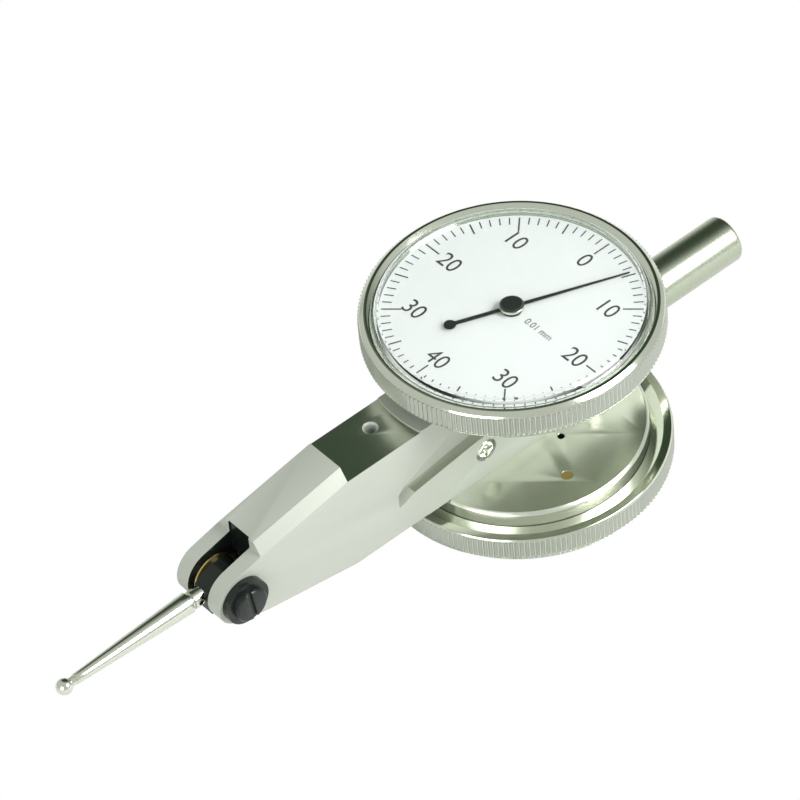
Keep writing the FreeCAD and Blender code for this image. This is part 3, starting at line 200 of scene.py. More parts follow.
# ---------------------------------------------------------------- mesh helpers
def new_piece(name, bm, crease=35.0):
    """Object from a bmesh in millimetres, smooth but for edges sharper than the crease angle."""
    bmesh.ops.remove_doubles(bm, verts=bm.verts, dist=1e-5)
    bmesh.ops.recalc_face_normals(bm, faces=bm.faces)
    bmesh.ops.scale(bm, vec=(MM, MM, MM), verts=bm.verts)
    mesh = bpy.data.meshes.new(name)
    bm.to_mesh(mesh)
    bm.free()
    mesh.shade_smooth()
    mesh.set_sharp_from_angle(angle=math.radians(crease))
    piece = bpy.data.objects.new(name, mesh)
    bpy.context.scene.collection.objects.link(piece)
    return piece


def finish(name):
    """One of the finishes made below."""
    return bpy.data.materials[PREFIX + name]


def mount(piece, body, material, replaced=()):
    """Give a piece its material and body, and hide the CAD nodes that it stands for."""
    if material:
        piece.data.materials.clear()
        piece.data.materials.append(finish(material))
    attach(piece, body)
    if replaced:
        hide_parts(*replaced)
    return piece


def filleted(corners, steps=4):
    """Round the corners of a closed outline given as (u, v, radius)."""
    outline = []
    count = len(corners)
    for i, (u, v, radius) in enumerate(corners):
        here = Vector((u, v))
        if not radius:
            outline.append((u, v))
            continue
        back = Vector(corners[i - 1][:2]) - here
        ahead = Vector(corners[(i + 1) % count][:2]) - here
        half = back.angle(ahead) / 2
        reach = min(radius / math.tan(half), 0.49 * back.length, 0.49 * ahead.length)
        start = here + back.normalized() * reach
        end = here + ahead.normalized() * reach
        for k in range(steps + 1):
            t = k / steps
            point = start * (1 - t) ** 2 + here * 2 * t * (1 - t) + end * t ** 2
            outline.append((point.x, point.y))
    return outline


def lathe(name, outline, place, steps=128, crease=35.0):
    """Closed outline of (radius, height) pairs, turned once round; place maps it into the frame."""
    bm = bmesh.new()
    rings = []
    for k in range(steps):
        angle = 2 * math.pi * k / steps
        rings.append([bm.verts.new((r * math.cos(angle), r * math.sin(angle), h)) for r, h in outline])
    count = len(outline)
    for k in range(steps):
        here, there = rings[k], rings[(k + 1) % steps]
        for i in range(count):
            j = (i + 1) % count
            flat = outline[i][0] < 1e-6 and outline[j][0] < 1e-6
            if not flat:
                bm.faces.new((here[i], here[j], there[j], there[i]))
    bmesh.ops.remove_doubles(bm, verts=bm.verts, dist=1e-6)
    bmesh.ops.dissolve_degenerate(bm, edges=bm.edges, dist=1e-6)
    bm.transform(place)
    return new_piece(name, bm, crease)


def dial_place(side):
    """From the dial's own frame to the part's, over the upper or turned over on the lower dial."""
    turn = Matrix.Identity(4) if side > 0 else Matrix.Rotation(math.pi, 4, "X")
    return Matrix.Translation((DIAL_X, 0, 0)) @ turn


def along_x(x):
    """Turned outline's axis laid along +X, with its zero at x."""
    return Matrix.Translation((x, 0, 0)) @ Matrix.Rotation(math.pi / 2, 4, "Y")


def dressed_copy(node, name, width, segments=2, angle=28.0):
    """Copy of a CAD node with its facets merged and every real edge broken by a small round."""
    mesh = frame["nodes"][node].data.copy()
    mesh.materials.clear()
    bm = bmesh.new()
    bm.from_mesh(mesh)
    bmesh.ops.remove_doubles(bm, verts=bm.verts, dist=1e-7)
    bmesh.ops.dissolve_limit(bm, angle_limit=math.radians(0.5), verts=bm.verts, edges=bm.edges)
    bm.to_mesh(mesh)
    bm.free()
    piece = bpy.data.objects.new(name, mesh)
    bpy.context.scene.collection.objects.link(piece)
    bevel = piece.modifiers.new("Edges", "BEVEL")
    bevel.width = width * MM
    bevel.segments = segments
    bevel.limit_method = "ANGLE"
    bevel.angle_limit = math.radians(angle)
    bevel.harden_normals = False
    mesh.shade_smooth()
    baked = bake(piece, name)
    baked.data.shade_smooth()
    baked.data.set_sharp_from_angle(angle=math.radians(24))
    return baked


def bake(piece, name):
    """Plain mesh object from an object with modifiers; the source object is removed."""
    graph = bpy.context.evaluated_depsgraph_get()
    graph.update()
    mesh = bpy.data.meshes.new_from_object(piece.evaluated_get(graph))
    piece.modifiers.clear()
    bpy.data.objects.remove(piece)
    baked = bpy.data.objects.new(name, mesh)
    bpy.context.scene.collection.objects.link(baked)
    return baked


# ---------------------------------------------------------------- geometry node helpers
class Tree:
    """Short way to write a geometry node group."""

    def __init__(self, name, inputs):
        self.group = bpy.data.node_groups.new(name, "GeometryNodeTree")
        self.group.interface.new_socket("Geometry", in_out="OUTPUT", socket_type="NodeSocketGeometry")
        self.ids = {}
        for label, kind in inputs:
            socket = self.group.interface.new_socket(label, in_out="INPUT", socket_type="NodeSocket" + kind)
            self.ids[label] = socket.identifier
        self.source = self.group.nodes.new("NodeGroupInput")
        self.sink = self.group.nodes.new("NodeGroupOutput")

    def node(self, kind, links=None, **settings):
        """Add a node, set its properties and connect or fill its inputs."""
        made = self.group.nodes.new(kind)
        for key, value in settings.items():
            setattr(made, key, value)
        for key, value in (links or {}).items():
            if isinstance(value, bpy.types.NodeSocket):
                self.group.links.new(value, made.inputs[key])
            else:
                made.inputs[key].default_value = value
        return made.outputs[0]

    def math(self, operation, a, b=0.0):
        """Math node."""
        return self.node("ShaderNodeMath", {0: a, 1: b}, operation=operation)

    def value(self, label):
        """Group input."""
        return self.source.outputs[label]

    def finish(self, geometry):
        """Realise, set the material and connect the output."""
        real = self.node("GeometryNodeRealizeInstances", {0: geometry})
        done = self.node("GeometryNodeSetMaterial", {"Geometry": real, "Material": self.value("Material")})
        self.group.links.new(done, self.sink.inputs[0])

    def build(self, name, values, place):
        """Run the tree with its values and return the placed mesh."""
        host = bpy.data.objects.new(name, bpy.data.meshes.new(name))
        bpy.context.scene.collection.objects.link(host)
        modifier = host.modifiers.new("Build", "NODES")
        modifier.node_group = self.group
        for label, value in values.items():
            modifier[self.ids[label]] = value
        piece = bake(host, name)
        piece.data.transform(Matrix.Scale(MM, 4) @ place)
        if place.determinant() < 0:
            piece.data.flip_normals()
        return piece


def knurl_tree():
    """Ring of straight ridges, each a square bar standing on its corner."""
    tree = Tree("Knurling", [("Count", "Int"), ("Root radius", "Float"), ("Ridge height", "Float"),
                             ("Low", "Float"), ("Band height", "Float"), ("Material", "Material")])
    count = tree.value("Count")
    step = tree.math("DIVIDE", math.tau, count)
    angle = tree.math("MULTIPLY", tree.node("GeometryNodeInputIndex"), step)
    middle = tree.math("ADD", tree.value("Low"), tree.math("MULTIPLY", tree.value("Band height"), 0.5))
    place = tree.node("ShaderNodeCombineXYZ",
                      {0: tree.math("MULTIPLY", tree.value("Root radius"), tree.math("COSINE", angle)),
                       1: tree.math("MULTIPLY", tree.value("Root radius"), tree.math("SINE", angle)),
                       2: middle})
    points = tree.node("GeometryNodePoints", {"Count": count, "Position": place})
    bar = tree.node("GeometryNodeMeshCylinder", {"Vertices": 4, "Radius": tree.value("Ridge height"),
                                                 "Depth": tree.value("Band height")})
    turn = tree.node("ShaderNodeCombineXYZ", {2: angle})
    rotation = tree.node("FunctionNodeEulerToRotation", {0: turn})
    ring = tree.node("GeometryNodeInstanceOnPoints", {"Points": points, "Instance": bar,
                                                      "Rotation": rotation})
    tree.finish(ring)
    return tree


def tick_tree():
    """Ring of printed ticks: long at every tenth, medium at every fifth, short between."""
    tree = Tree("Scale ticks", [("Count", "Int"), ("Outer radius", "Float"), ("Short", "Float"),
                                ("Medium", "Float"), ("Long", "Float"), ("Width", "Float"),
                                ("Thickness", "Float"), ("Level", "Float"), ("Material", "Material")])
    count = tree.value("Count")
    index = tree.node("GeometryNodeInputIndex")
    angle = tree.math("MULTIPLY", index, tree.math("DIVIDE", math.tau, count))

    def every(number):
        return tree.math("COMPARE", tree.math("MODULO", index, float(number)), 0.0)
    fifth = tree.math("MULTIPLY", every(5), tree.math("SUBTRACT", tree.value("Medium"), tree.value("Short")))
    tenth = tree.math("MULTIPLY", every(10), tree.math("SUBTRACT", tree.value("Long"), tree.value("Medium")))
    size = tree.math("ADD", tree.value("Short"), tree.math("ADD", fifth, tenth))
    radius = tree.math("SUBTRACT", tree.value("Outer radius"), tree.math("MULTIPLY", size, 0.5))
    place = tree.node("ShaderNodeCombineXYZ", {0: tree.math("MULTIPLY", radius, tree.math("COSINE", angle)),
                                               1: tree.math("MULTIPLY", radius, tree.math("SINE", angle)),
                                               2: tree.value("Level")})
    points = tree.node("GeometryNodePoints", {"Count": count, "Position": place})
    bar = tree.node("GeometryNodeMeshCube", {"Size": (1.0, 1.0, 1.0)})
    turn = tree.node("ShaderNodeCombineXYZ", {2: angle})
    rotation = tree.node("FunctionNodeEulerToRotation", {0: turn})
    heavy = tree.math("ADD", 1.0, tree.math("MULTIPLY", every(5), 0.25))
    scale = tree.node("ShaderNodeCombineXYZ", {0: size, 1: tree.math("MULTIPLY", tree.value("Width"), heavy),
                                               2: tree.value("Thickness")})
    ring = tree.node("GeometryNodeInstanceOnPoints", {"Points": points, "Instance": bar,
                                                      "Rotation": rotation, "Scale": scale})
    tree.finish(ring)
    return tree


# ---------------------------------------------------------------- materials
class Paint:
    """Short way to write a material around one Principled shader."""

    def __init__(self, name, base, metallic, roughness, sockets=None):
        self.material = bpy.data.materials.new(PREFIX + name)
        self.material.use_nodes = True
        self.tree = self.material.node_tree
        self.shader = self.tree.nodes["Principled BSDF"]
        self.base = (*base, 1.0)
        self.roughness = roughness
        self.shader.inputs["Base Color"].default_value = self.base
        self.shader.inputs["Metallic"].default_value = metallic
        self.shader.inputs["Roughness"].default_value = roughness
        for key, value in (sockets or {}).items():
            self.shader.inputs[key].default_value = value
        self.material.diffuse_color = self.base

    def node(self, kind, links=None, **settings):
        """Add a node, set its properties and connect or fill its inputs."""
        made = self.tree.nodes.new(kind)
        for key, value in settings.items():
            setattr(made, key, value)
        for key, value in (links or {}).items():
            if isinstance(value, bpy.types.NodeSocket):
                self.tree.links.new(value, made.inputs[key])
            else:
                made.inputs[key].default_value = value
        return made

    def noise(self, stretch, detail=3.0):
        """Noise in object space; stretch is its frequency along X, Y and Z, per millimetre."""
        coordinates = self.node("ShaderNodeTexCoord").outputs["Object"]
        mapping = self.node("ShaderNodeMapping", {"Vector": coordinates, "Scale": [s / MM for s in stretch]})
        return self.node("ShaderNodeTexNoise", {"Vector": mapping.outputs[0], "Scale": 1.0,
                                                "Detail": detail}).outputs[0]

    def grain(self, stretch, shade=0.08, spread=0.06, bump=0.15, height=0.004):
        """Vary colour, roughness and relief with one noise."""
        noise = self.noise(stretch)
        dark = [channel * (1 - shade) for channel in self.base[:3]] + [1.0]
        light = [min(1.0, channel * (1 + shade)) for channel in self.base[:3]] + [1.0]
        mix = self.node("ShaderNodeMix", {0: noise, 6: dark, 7: light}, data_type="RGBA")
        self.tree.links.new(mix.outputs[2], self.shader.inputs["Base Color"])
        spread_map = self.node("ShaderNodeMapRange", {"Value": noise, "To Min": self.roughness - spread,
                                                      "To Max": self.roughness + spread})
        self.tree.links.new(spread_map.outputs[0], self.shader.inputs["Roughness"])
        relief = self.node("ShaderNodeBump", {"Height": noise, "Strength": bump, "Distance": height * MM})
        self.tree.links.new(relief.outputs[0], self.shader.inputs["Normal"])
        return self


def make_finishes(colours):
    """Every finish of the indicator, by name."""
    satin = Paint("satin_chrome", colours.satin, 0.3, 0.55)
    satin.grain((9, 9, 9), shade=0.05, spread=0.05, bump=0.12)
    knurl = Paint("knurl_chrome", colours.satin, 0.7, 0.36)
    knurl.grain((6, 6, 6), shade=0.06, spread=0.05, bump=0.08)
    lapped = Paint("lapped_chrome", colours.polished, 1.0, 0.24)
    lapped.grain((1.5, 22, 22), shade=0.05, spread=0.05, bump=0.05)
    polished = Paint("polished_chrome", colours.polished, 1.0, 0.12)
    polished.grain((5, 5, 5), shade=0.04, spread=0.03, bump=0.02)
    stem = Paint("ground_steel", colours.ground, 1.0, 0.27)
    stem.grain((28, 2.2, 2.2), shade=0.07, spread=0.05, bump=0.10)
    stylus = Paint("stylus_chrome", colours.polished, 1.0, 0.16)
    stylus.grain((26, 2.5, 2.5), shade=0.06, spread=0.05, bump=0.06)
    screw = Paint("screw_steel", colours.polished, 1.0, 0.22)
    screw.grain((14, 14, 14), shade=0.05, spread=0.05, bump=0.05)
    black = Paint("black_steel", colours.black, 0.35, 0.30)
    black.grain((16, 16, 16), shade=0.25, spread=0.08, bump=0.10)
    brass = Paint("brass", colours.brass, 1.0, 0.28)
    brass.grain((14, 14, 14), shade=0.08, spread=0.06, bump=0.06)
    bronze = Paint("spring_bronze", [0.6 * c for c in colours.brass], 1.0, 0.25)
    bronze.grain((10, 10, 30), shade=0.06, spread=0.05, bump=0.04)
    ruby = Paint("jewel", (0.45, 0.012, 0.05), 0.0, 0.08)
    ruby.grain((3, 3, 3), shade=0.10, spread=0.02, bump=0.0)
    dial = Paint("dial_face", colours.dial, 0.0, 0.55)
    dial.grain((7, 7, 7), shade=0.012, spread=0.04, bump=0.04)
    ink = Paint("ink", colours.ink, 0.0, 0.6)
    ink.grain((20, 20, 20), shade=0.15, spread=0.05, bump=0.0)
    hand = Paint("black_paint", (0.008, 0.009, 0.009), 0.0, 0.38)
    hand.grain((18, 18, 18), shade=0.2, spread=0.06, bump=0.05)
    make_crystal_material()


def make_crystal_material():
    """Clear crystal that lets light through to the dial."""
    glass = Paint("crystal", (0.96, 0.985, 0.97), 0.0, 0.015, {"Transmission Weight": 1.0, "IOR": 1.49})
    output = glass.tree.nodes["Material Output"]
    clear = glass.node("ShaderNodeBsdfTransparent", {"Color": (0.93, 0.95, 0.935, 1.0)})
    ray = glass.node("ShaderNodeLightPath")
    mix = glass.node("ShaderNodeMixShader", {0: ray.outputs["Is Shadow Ray"], 1: glass.shader.outputs[0],
                                             2: clear.outputs[0]})
    glass.tree.links.new(mix.outputs[0], output.inputs["Surface"])


# ---------------------------------------------------------------- operators
class TDI_OT_finishes(bpy.types.Operator):
    """Make the finishes and give one to every CAD node"""
    bl_idname = "tdi.finishes"
    bl_label = "Finishes"
    bl_options = {"REGISTER", "UNDO"}

    def execute(self, context):
        """Materials by node name."""
        make_finishes(context.scene.tdi_finish)
        table = {
            "satin_chrome": ["body_frame", "side_cover", "upper_bezel", "lower_bezel"],
            "ground_steel": ["stem", "centre_arbor", "crown_arbor", "sector_lever", "centre_pinion"],
            "black_steel": ["pivot_screws", "neck_screw", "stylus_holder"],
            "screw_steel": ["side_screws", "cover_screws", "bridge_screws", "upper_case_screws",
                            "lower_case_screws", "upper_bezel_spring", "lower_bezel_spring"],
            "brass": ["train_bridge", "crown_wheel", "friction_washer", "hairspring_collet",
                      "hairspring_stud", "upper_case_pin", "lower_case_pin", "upper_centre_bush",
                      "lower_centre_bush"],
            "polished_chrome": ["upper_case", "lower_case", "upper_pointer_boss", "lower_pointer_boss"],
            "stylus_chrome": ["stylus", "stylus_ball"],
            "spring_bronze": ["hairspring"],
            "jewel": ["crown_jewels"],
            "dial_face": ["upper_dial", "lower_dial"],
            "crystal": ["upper_crystal", "lower_crystal"],
            "black_paint": ["upper_pointer", "lower_pointer", "upper_pointer_cap", "lower_pointer_cap"],
        }
        for material, nodes in table.items():
            for node in nodes:
                slots = frame["nodes"][node].data.materials
                slots.clear()
                slots.append(finish(material))
        return {"FINISHED"}


class TDI_OT_body(bpy.types.Operator):
    """Arm, ears, neck and block with broken edges; the neck's flat is lapped bright"""
    bl_idname = "tdi.body"
    bl_label = "Body"
    bl_options = {"REGISTER", "UNDO"}

    def execute(self, context):
        """Body frame, side cover, their bright faces and the painted shade in the stylus slot."""
        piece = dressed_copy("body_frame", "arm_and_block", 0.07)
        materials = piece.data.materials
        materials.clear()
        materials.append(finish("satin_chrome"))
        materials.append(finish("lapped_chrome"))
        # third slot: blackened steel used only as painted shade on the stylus slot's inner walls
        materials.append(finish("black_steel"))
        neck_front = PIVOT_X + NECK_START
        slot_half = extent("stylus_holder", 1)[0] - 0.2
        slot_rear = extent("stylus_holder", 0)[1] + 1.0
        for face in piece.data.polygons:
            centre = face.center / MM
            on_neck = neck_front < centre.x < DIAL_X and abs(face.normal.z) > 0.99
            if on_neck and abs(centre.z) < CASE_BASE:
                face.material_index = 1
            # Painted shade: the stylus slot's inner walls get blackened steel so they read dark, standing in
            # for the shade deep in the slot
            if centre.x < slot_rear and abs(centre.y) < -slot_half and abs(face.normal.z) < 0.1:
                face.material_index = 2
        mount(piece, "body", None, ["body_frame"])
        cover = dressed_copy("side_cover", "cover_plate", 0.05)
        mount(cover, "body", "satin_chrome", ["side_cover"])
        return {"FINISHED"}


class TDI_OT_stem(bpy.types.Operator):
    """Ground clamping stem with its rounded free end"""
    bl_idname = "tdi.stem"
    bl_label = "Stem"
    bl_options = {"REGISTER", "UNDO"}

    def execute(self, context):
        """Turned stem; its spigot is hidden in the block."""
        low, high = extent("stem", 0)
        radius = extent("stem", 2)[1]
        block_end = extent("body_frame", 0)[1]
        spigot = 0.66 * radius
        size = high - low
        shoulder = block_end - low
        outline = filleted([(0, 0, 0), (spigot, 0, 0), (spigot, shoulder, 0), (radius, shoulder, 0.12),
                            (radius, size, 0.5), (0, size, 0)], 6)
        piece = lathe("clamping_stem", outline, along_x(low), 96)
        mount(piece, "body", "ground_steel", ["stem"])
        return {"FINISHED"}


class TDI_OT_stylus(bpy.types.Operator):
    """Tapered stylus with its collar, groove, fine neck and ball"""
    bl_idname = "tdi.stylus"
    bl_label = "Stylus"
    bl_options = {"REGISTER", "UNDO"}

    def execute(self, context):
        """Bevelled copy of the stylus and a turned ball."""
        piece = dressed_copy("stylus", "stylus_shaft", 0.05)
        mount(piece, "stylus_unit", "stylus_chrome", ["stylus"])
        low, high = extent("stylus_ball", 0)
        radius = extent("stylus_ball", 2)[1]
        mouth = math.acos(min(1.0, (high - low - radius) / radius))
        count = 24
        outline = [(radius * math.sin(a), radius - radius * math.cos(a))
                   for a in (math.pi * k / count * (1 - mouth / math.pi) for k in range(count + 1))]
        outline.append((0.0, outline[-1][1]))
        ball = lathe("contact_ball", outline, along_x(low), 64)
        mount(ball, "stylus_unit", "polished_chrome", ["stylus_ball"])
        return {"FINISHED"}


class TDI_OT_fasteners(bpy.types.Operator):
    """Pivot screws, holder and side screws with broken edges"""
    bl_idname = "tdi.fasteners"
    bl_label = "Fasteners"
    bl_options = {"REGISTER", "UNDO"}

    def execute(self, context):
        """Bevelled copies of the small pieces that show."""
        for node, name, body, material, slot, width in (
                ("pivot_screws", "pivot_heads", "body", "black_steel", "black_steel", 0.08),
                ("stylus_holder", "holder_block", "stylus_unit", "black_steel", "black_steel", 0.08),
                ("side_screws", "rail_screws", "body", "screw_steel", "steel_screws", 0.05),
                ("cover_screws", "cover_fixings", "body", "screw_steel", "steel_screws", 0.03),
                ("neck_screw", "neck_grub", "body", "black_steel", "black_steel", 0.03)):
            piece = dressed_copy(node, name, width)
            mount(piece, body, material, [node])
        return {"FINISHED"}


class TDI_OT_cases(bpy.types.Operator):
    """Dial cases as smooth turned cups with a rounded bright edge"""
    bl_idname = "tdi.cases"
    bl_label = "Cases"
    bl_options = {"REGISTER", "UNDO"}

    def execute(self, context):
        """One bevelled cup for each dial."""
        for side in SIDES:
            node = side + "_case"
            piece = dressed_copy(node, side + "_case_cup", 0.12, 3)
            mount(piece, "body", "lapped_chrome", [node])
        return {"FINISHED"}


class TDI_OT_bezels(bpy.types.Operator):
    """Knurled bezels: a turned ring with a polished rim, and the ridges round it"""
    bl_idname = "tdi.bezels"
    bl_label = "Bezels"
    bl_options = {"REGISTER", "UNDO"}

    def execute(self, context):
        """Ring and knurling for each dial."""
        sizes = in_millimetres(context.scene.tdi_bezel)
        tree = knurl_tree()
        pitch = math.tau * BEZEL_RADIUS / sizes.knurls
        ridge = min(sizes.knurl_depth, pitch / 2)
        root = BEZEL_RADIUS - ridge
        low = BEZEL_REAR + sizes.knurl_low
        high = BEZEL_RIM - sizes.knurl_drop
        bore = FLANGE_RADIUS + FLANGE_GAP
        lip = bore - LIP_WIDTH
        lip_top = CASE_TOP - FLANGE_DEPTH
        edge = sizes.rim_round
        crest = bore + CREST_OFFSET
        mouth = BEZEL_RIM - sizes.mouth_depth
        body_radius = root + 0.02
        corners = [(bore + 0.7, BEZEL_REAR, 0.1), (BEZEL_RADIUS - 0.25, BEZEL_REAR, 0.15),
                   (BEZEL_RADIUS - 0.08, low - 0.05, 0.05), (body_radius, low, 0), (body_radius, high, 0),
                   (BEZEL_RADIUS - 0.1, high + 0.05, 0.05), (BEZEL_RADIUS - 0.28, high + 0.28, 0.12),
                   (crest + CREST_HALF, BEZEL_RIM - 0.05, edge), (crest - CREST_HALF, BEZEL_RIM, edge),
                   (bore + 0.25, mouth, 0.08), (bore, mouth - 0.1, 0), (bore, lip_top, 0), (lip, lip_top, 0),
                   (lip, BEZEL_REAR + 0.32, 0.08)]
        for side, sign in SIDES.items():
            place = dial_place(sign)
            node = side + "_bezel"
            body = side + "_bezel_unit"
            ring = lathe(side + "_bezel_ring", filleted(corners, 4), place, 180, 40)
            mount(ring, body, "polished_chrome", [node])
            ridges = tree.build(side + "_knurling", {
                "Count": sizes.knurls, "Root radius": root, "Ridge height": ridge, "Low": low,
                "Band height": high - low, "Material": finish("knurl_chrome")}, place)
            mount(ridges, body, None)
        return {"FINISHED"}


class TDI_OT_crystals(bpy.types.Operator):
    """Clear crystals with a bevelled edge"""
    bl_idname = "tdi.crystals"
    bl_label = "Crystals"
    bl_options = {"REGISTER", "UNDO"}

    def execute(self, context):
        """One turned crystal for each dial."""
        outer = CRYSTAL_RADIUS
        inner = outer - CRYSTAL_WALL
        under = CRYSTAL_TOP - CRYSTAL_THICKNESS
        corners = [(inner, CRYSTAL_BASE, 0), (outer, CRYSTAL_BASE, 0),
                   (outer, CRYSTAL_TOP - CRYSTAL_BEVEL, 0.05), (outer - CRYSTAL_BEVEL, CRYSTAL_TOP, 0.08),
                   (0, CRYSTAL_TOP, 0), (0, under, 0), (inner, under, 0.1)]
        for side, sign in SIDES.items():
            piece = lathe(side + "_window", filleted(corners, 3), dial_place(sign), 160)
            mount(piece, side + "_bezel_unit", "crystal", [side + "_crystal"])
        return {"FINISHED"}


class TDI_OT_scales(bpy.types.Operator):
    """Printed ticks, numerals and the unit mark of both dials"""
    bl_idname = "tdi.scales"
    bl_label = "Scales"
    bl_options = {"REGISTER", "UNDO"}

    def execute(self, context):
        """Ticks from the node tree, numerals from text."""
        sizes = in_millimetres(context.scene.tdi_scale)
        tree = tick_tree()
        level = DIAL_FACE + sizes.ink / 2
        for side, sign in SIDES.items():
            place = dial_place(sign)
            body = side + "_bezel_unit"
            ticks = tree.build(side + "_ticks", {
                "Count": sizes.divisions, "Outer radius": sizes.tick_outer, "Short": sizes.tick_short,
                "Medium": sizes.tick_medium, "Long": sizes.tick_long, "Width": sizes.tick_width,
                "Thickness": sizes.ink, "Level": level, "Material": finish("ink")}, place)
            mount(ticks, body, None)
            for i, text in enumerate(("0", "10", "20", "30", "40", "30", "20", "10")):
                angle = -math.tau * i / 8
                radius = sizes.numeral_radius + NUMERAL_SHIFT * abs(math.cos(angle))
                where = (radius * math.cos(angle), radius * math.sin(angle), DIAL_FACE)
                name = side + "_numeral_" + str(i)
                mark = printed(name, text, sizes.numeral_height, where, sizes.ink, place)
                mount(mark, body, "ink")
            unit = printed(side + "_unit_mark", "0.01 mm", sizes.unit_height,
                           (0.0, UNIT_PLACE, DIAL_FACE), sizes.ink, place)
            mount(unit, body, "ink")
        return {"FINISHED"}


def printed(name, text, height, where, ink, place):
    """Printed text whose top faces +X, as a thin mesh centred at a place on the dial."""
    curve = bpy.data.curves.new(name, "FONT")
    curve.body = text
    curve.size = 1.0
    curve.resolution_u = 6
    curve.extrude = 0.5
    source = bpy.data.objects.new(name, curve)
    bpy.context.scene.collection.objects.link(source)
    piece = bake(source, name)
    points = [vertex.co for vertex in piece.data.vertices]
    low = Vector([min(point[k] for point in points) for k in range(3)])
    high = Vector([max(point[k] for point in points) for k in range(3)])
    tall = height / (high.y - low.y)
    scale = Matrix.Diagonal((NUMERAL_WIDTH * tall, tall, ink, 1.0))
    turn = Matrix.Rotation(-math.pi / 2, 4, "Z")
    spot = Matrix.Translation((where[0], where[1], where[2] + ink / 2))
    centre = Matrix.Translation(-(low + high) / 2)
    piece.data.transform(Matrix.Scale(MM, 4) @ place @ spot @ turn @ scale @ centre)
    return piece


class TDI_OT_pointers(bpy.types.Operator):
    """Bright bosses and black caps over the pointers"""
    bl_idname = "tdi.pointers"
    bl_label = "Pointers"
    bl_options = {"REGISTER", "UNDO"}

    def execute(self, context):
        """Turned boss and cap for each dial."""
        for side, sign in SIDES.items():
            place = dial_place(sign)
            low, high = extent("upper_pointer_boss", 2)
            radius = extent("upper_pointer_boss", 1)[1]
            corners = [(BOSS_BORE, low, 0), (radius, low, 0.05), (radius, high, 0.12), (BOSS_BORE, high, 0)]
            boss = lathe(side + "_boss", filleted(corners, 4), place, 64)
            mount(boss, "pointer_arbor", "polished_chrome", [side + "_pointer_boss"])
            low, high = extent("upper_pointer_cap", 2)
            radius = extent("upper_pointer_cap", 1)[1]
            corners = [(0, low, 0), (radius, low, 0), (radius, high, 0.1), (0, high, 0)]
            cap = lathe(side + "_cap", filleted(corners, 4), place, 64)
            mount(cap, "pointer_arbor", "black_paint", [side + "_pointer_cap"])
        return {"FINISHED"}


class TDI_OT_stage(bpy.types.Operator):
    """Pale floor, soft lamps, surroundings and camera"""
    bl_idname = "tdi.stage"
    bl_label = "Stage"
    bl_options = {"REGISTER", "UNDO"}

    def execute(self, context):
        """Floor, lamps, world and camera."""
        scene = context.scene
        studio = scene.tdi_studio
        make_floor(-CRYSTAL_TOP)
        make_world(scene, studio.world)
        add_lamp("key_lamp", (160, -330, 300), 260, studio.key)
        add_lamp("fill_lamp", (-420, -160, 160), 240, studio.fill)
        add_camera(scene, studio.lens)
        scene.view_settings.view_transform = "Standard"
        return {"FINISHED"}


def make_floor(height):
    """Floor that is plain white to the camera, where it shows no shadow, and pale to every other ray."""
    half = FLOOR_HALF
    bm = bmesh.new()
    corners = [(-half, -half), (half, -half), (half, half), (-half, half)]
    bm.faces.new([bm.verts.new((x, y, height)) for x, y in corners])
    floor = new_piece("floor", bm)
    if floor.data.polygons[0].normal.z < 0:
        floor.data.flip_normals()
    paint = Paint("floor_white", (0.80, 0.80, 0.80), 0.0, 0.9)
    output = paint.tree.nodes["Material Output"]
    glow = paint.node("ShaderNodeEmission", {"Color": (1, 1, 1, 1), "Strength": 1.0})
    ray = paint.node("ShaderNodeLightPath")
    mix = paint.node("ShaderNodeMixShader", {0: ray.outputs["Is Camera Ray"], 1: paint.shader.outputs[0],
                                             2: glow.outputs[0]})
    paint.tree.links.new(mix.outputs[0], output.inputs["Surface"])
    floor.data.materials.append(paint.material)


def make_world(scene, strength):
    """White to the camera; a pale room with a dark green far side and ceiling for everything else."""
    world = bpy.data.worlds.new("room")
    scene.world = world
    world.use_nodes = True
    tree = world.node_tree
    tree.nodes.clear()
    output = tree.nodes.new("ShaderNodeOutputWorld")
    room = tree.nodes.new("ShaderNodeBackground")
    room.inputs["Strength"].default_value = strength
    white = tree.nodes.new("ShaderNodeBackground")
    white.inputs["Color"].default_value = (1, 1, 1, 1)
    ray = tree.nodes.new("ShaderNodeLightPath")
    mix = tree.nodes.new("ShaderNodeMixShader")
    place = tree.nodes.new("ShaderNodeTexCoord")
    toward = tree.nodes.new("ShaderNodeVectorMath")
    toward.operation = "DOT_PRODUCT"
    toward.inputs[1].default_value = DARK_SIDE
    ramp = tree.nodes.new("ShaderNodeValToRGB")
    ramp.color_ramp.elements[0].position = 0.72
    ramp.color_ramp.elements[0].color = (0.80, 0.82, 0.78, 1)
    ramp.color_ramp.elements[1].position = 0.93
    ramp.color_ramp.elements[1].color = (0.055, 0.085, 0.050, 1)
    tree.links.new(place.outputs["Generated"], toward.inputs[0])
    tree.links.new(toward.outputs["Value"], ramp.inputs[0])
    tree.links.new(ramp.outputs[0], room.inputs["Color"])
    tree.links.new(ray.outputs["Is Camera Ray"], mix.inputs[0])
    tree.links.new(room.outputs[0], mix.inputs[1])
    tree.links.new(white.outputs[0], mix.inputs[2])
    tree.links.new(mix.outputs[0], output.inputs["Surface"])


def add_lamp(name, where, size, power):
    """Square area lamp that faces the indicator."""
    light = bpy.data.lights.new(name, "AREA")
    light.shape = "SQUARE"
    light.size = size * MM
    light.energy = power
    lamp = bpy.data.objects.new(name, light)
    lamp.location = Vector(where) * MM
    aim = Vector((DIAL_X, 0, 0)) * MM - lamp.location
    lamp.rotation_euler = aim.to_track_quat("-Z", "Y").to_euler()
    bpy.context.scene.collection.objects.link(lamp)


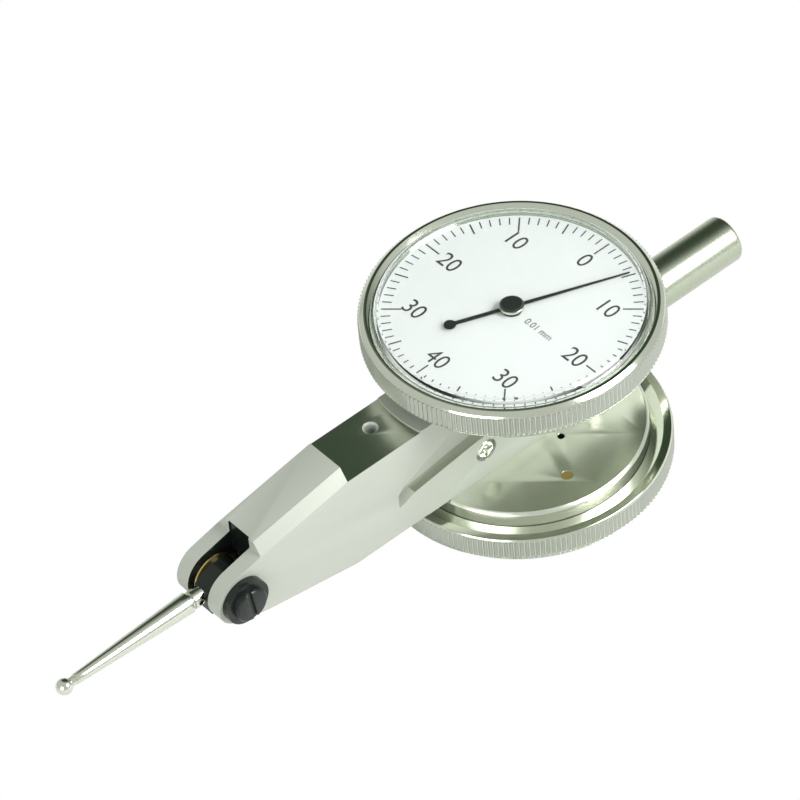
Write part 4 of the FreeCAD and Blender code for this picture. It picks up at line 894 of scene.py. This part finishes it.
def add_camera(scene, lens):
    """Long lens from above the stylus side."""
    azimuth = math.radians(CAMERA_AZIMUTH)
    elevation = math.radians(CAMERA_ELEVATION)
    roll = math.radians(CAMERA_ROLL)
    right = Vector((math.cos(azimuth), math.sin(azimuth), 0))
    back = Vector((math.sin(azimuth) * math.cos(elevation), -math.cos(azimuth) * math.cos(elevation),
                   math.sin(elevation)))
    up = back.cross(right)
    level = right * math.cos(roll) + up * math.sin(roll)
    top = up * math.cos(roll) - right * math.sin(roll)
    aim = Vector((DIAL_X, 0, 0)) - level * CAMERA_SHIFT[0] - top * CAMERA_SHIFT[1]
    eye = aim + back * CAMERA_DISTANCE
    data = bpy.data.cameras.new("camera")
    data.lens = lens
    data.sensor_width = 36.0
    data.clip_start = 0.01
    camera = bpy.data.objects.new("camera", data)
    turn = Matrix((level, top, back)).transposed().to_4x4()
    camera.matrix_world = Matrix.Translation(eye * MM) @ turn
    scene.collection.objects.link(camera)
    scene.camera = camera


OPERATORS = (TDI_OT_finishes, TDI_OT_body, TDI_OT_stem, TDI_OT_stylus, TDI_OT_fasteners, TDI_OT_cases,
             TDI_OT_bezels, TDI_OT_crystals, TDI_OT_scales, TDI_OT_pointers, TDI_OT_stage)


class TDI_PT_panel(bpy.types.Panel):
    """Sidebar panel with every builder and its settings"""
    bl_idname = "TDI_PT_panel"
    bl_label = "Lever Test Indicator"
    bl_space_type = "VIEW_3D"
    bl_region_type = "UI"
    bl_category = "Indicator"

    def draw(self, context):
        """List the settings, then the builders."""
        for name, group in GROUPS.items():
            box = self.layout.box()
            box.label(text=group.__doc__)
            for setting in group.__annotations__:
                box.prop(getattr(context.scene, name), setting)
        for operator in OPERATORS:
            self.layout.operator(operator.bl_idname)


def register():
    """Register the classes and hang the settings on the scene."""
    for group in GROUPS.values():
        bpy.utils.register_class(group)
    for operator in OPERATORS:
        bpy.utils.register_class(operator)
    bpy.utils.register_class(TDI_PT_panel)
    for name, group in GROUPS.items():
        setattr(bpy.types.Scene, name, PointerProperty(type=group))


def unregister():
    """Undo register."""
    for name in GROUPS:
        delattr(bpy.types.Scene, name)
    bpy.utils.unregister_class(TDI_PT_panel)
    for operator in reversed(OPERATORS):
        bpy.utils.unregister_class(operator)
    for group in GROUPS.values():
        bpy.utils.unregister_class(group)


def main():
    """Build every piece in order."""
    register()
    for operator in OPERATORS:
        group, name = operator.bl_idname.split(".")
        getattr(getattr(bpy.ops, group), name)()


if __name__ == "__main__":
    main()
